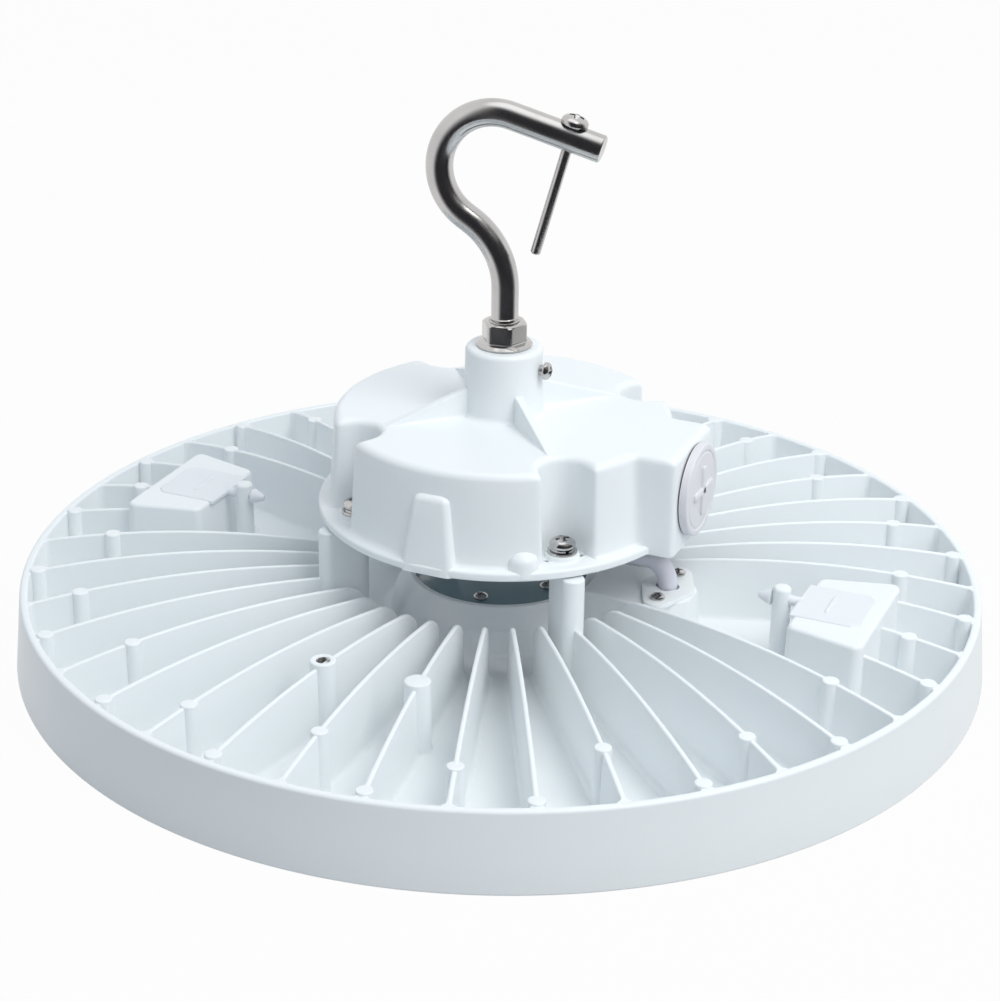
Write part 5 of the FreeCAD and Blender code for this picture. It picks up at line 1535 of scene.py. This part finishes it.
@dataclass(frozen=True)
class Lamp:
    """Area light, placed by its direction from the light's centre."""

    name: str
    azimuth: float
    elevation: float
    distance: float
    size: float
    power: float
    colour: tuple[float, float, float] = (1.0, 1.0, 1.0)

    def build(self) -> None:
        """Create the lamp, aimed at the centre."""
        way = direction(self.azimuth, self.elevation)
        lamp = bpy.data.lights.new(self.name, "AREA")
        lamp.shape = "DISK"
        lamp.size = self.size
        lamp.energy = self.power
        lamp.color = self.colour
        centre = Vector((0, 0, 0.06))
        linked(self.name, lamp).matrix_world = placed(centre + way * self.distance, way)


@dataclass(frozen=True)
class Flag:
    """Dark curved flag on the camera's side that only mirrors, as round polished steel shows it."""

    radius: float = 0.26
    height: float = 0.15
    from_azimuth: float = -42.0
    to_azimuth: float = 125.0
    from_elevation: float = -33.0
    to_elevation: float = 82.0
    fade: float = 34.0
    colour: tuple[float, float, float] = (0.035, 0.035, 0.04)

    def finish(self) -> bpy.types.Material:
        """Dark glow that fades out to clear at the flag's edges."""
        graph = Graph("dark_flag")
        spot = graph.node("ShaderNodeTexCoord", output="Object")
        parts = graph.tree.nodes.new("ShaderNodeSeparateXYZ")
        graph.tree.links.new(spot.socket, parts.inputs[0])
        x, y, z = (Wire(graph, socket) for socket in parts.outputs)
        azimuth = graph.node("ShaderNodeMath", {"operation": "ARCTAN2"}, {0: x, 1: 0.0 - y})
        elevation = graph.node("ShaderNodeMath", {"operation": "ARCSINE"}, {0: z / self.radius})

        def ramp(value: Wire, clear: float, full: float) -> Wire:
            """Smooth rise between two angles in degrees."""
            return graph.node("ShaderNodeMapRange", {"interpolation_type": "SMOOTHSTEP"}, {
                0: value, 1: math.radians(clear), 2: math.radians(full), 3: 0.0, 4: 1.0})

        cover = (ramp(azimuth, self.from_azimuth, self.from_azimuth + self.fade)
                 * ramp(azimuth, self.to_azimuth, self.to_azimuth - self.fade)
                 * ramp(elevation, self.to_elevation, self.to_elevation - self.fade))
        graph.mixed(cover, graph.node("ShaderNodeBsdfTransparent"),
                    graph.glow("ShaderNodeEmission", self.colour, 1.0))
        return graph.material

    def build(self) -> None:
        """Create the flag as a patch of a sphere round the hook."""
        columns, rows = 48, 32
        mesh_builder = bmesh.new()
        grid = [[mesh_builder.verts.new(self.radius * direction(
            self.from_azimuth + (self.to_azimuth - self.from_azimuth) * column / columns,
            self.from_elevation + (self.to_elevation - self.from_elevation) * row / rows))
            for column in range(columns + 1)] for row in range(rows + 1)]
        for low, high in zip(grid, grid[1:]):
            for i in range(columns):
                mesh_builder.faces.new((low[i], low[i + 1], high[i + 1], high[i]))
        mesh = as_mesh(mesh_builder, "flag")
        mesh.materials.append(self.finish())
        made = linked("flag", mesh)
        made.location = (0, 0, self.height)
        made.visible_camera = False
        made.visible_diffuse = False
        made.visible_shadow = False
        made.visible_transmission = False


@dataclass
class Studio:
    """Pale floor, white surround and soft lamps."""

    world_strength: float = 0.58
    world_colour: tuple[float, float, float] = (0.85, 0.925, 1.0)
    floor_colour: float = 0.45
    floor_glow: float = 0.97
    lamps: tuple[Lamp, ...] = (
        Lamp("key", 75.0, 55.0, 1.5, 0.9, 10.4, (1.0, 1.0, 0.97)),
        Lamp("low", 75.0, 22.0, 1.5, 0.9, 1.8, (0.99, 0.99, 1.0)),
        Lamp("top", 20.0, 84.0, 1.6, 1.4, 3.0, (0.96, 0.985, 1.0)),
    )

    def floor(self) -> None:
        """Large pale floor that glows white to the camera and keeps a soft shadow."""
        graph = Graph("pale_floor")
        share = graph.rays("Camera", "Glossy", "Transmission") * self.floor_glow
        matt = graph.node("ShaderNodeBsdfDiffuse", {}, {"Color": (*[self.floor_colour] * 3, 1.0)})
        graph.mixed(share, matt, graph.glow("ShaderNodeEmission", WHITE, 1.0))
        mesh_builder = bmesh.new()
        bmesh.ops.create_circle(mesh_builder, cap_ends=True, segments=96, radius=6.0)
        mesh = as_mesh(mesh_builder, "floor")
        mesh.materials.append(graph.material)
        linked("floor", mesh)

    def surround(self) -> None:
        """World that lights evenly and shows white."""
        graph = Graph("surround", world=True)
        kind = "ShaderNodeBackground"
        graph.mixed(graph.rays("Camera", "Glossy"), graph.glow(kind, self.world_colour, self.world_strength),
                    graph.glow(kind, WHITE, 1.0))
        bpy.context.scene.world = graph.material

    def build(self) -> None:
        """Build the studio and its camera."""
        bpy.context.scene.view_settings.view_transform = "Standard"
        self.surround()
        self.floor()
        for lamp in self.lamps:
            lamp.build()
        Flag().build()
        Camera().build()


def main() -> None:
    """Load the frame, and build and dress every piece."""
    logging.basicConfig(level=logging.INFO, format="%(message)s")
    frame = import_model()
    finishes = Finishes()
    shop = Workshop(finishes, PolarRow())
    slots = {row["node"]: row["material_slot"] for row in frame["record"]["subparts"]}
    for name, node in frame["nodes"].items():
        finishes.dress_node(node, slots[name])
    HeatSink(shop).build()
    SelectorBoxes(shop).build()
    DriverHousing(shop).build()
    Fixings(shop).build()
    BlankingPlug(shop).build()
    Hook(shop).build()
    LeadEntry(shop).build()
    Studio().build()


if __name__ == "__main__":
    main()
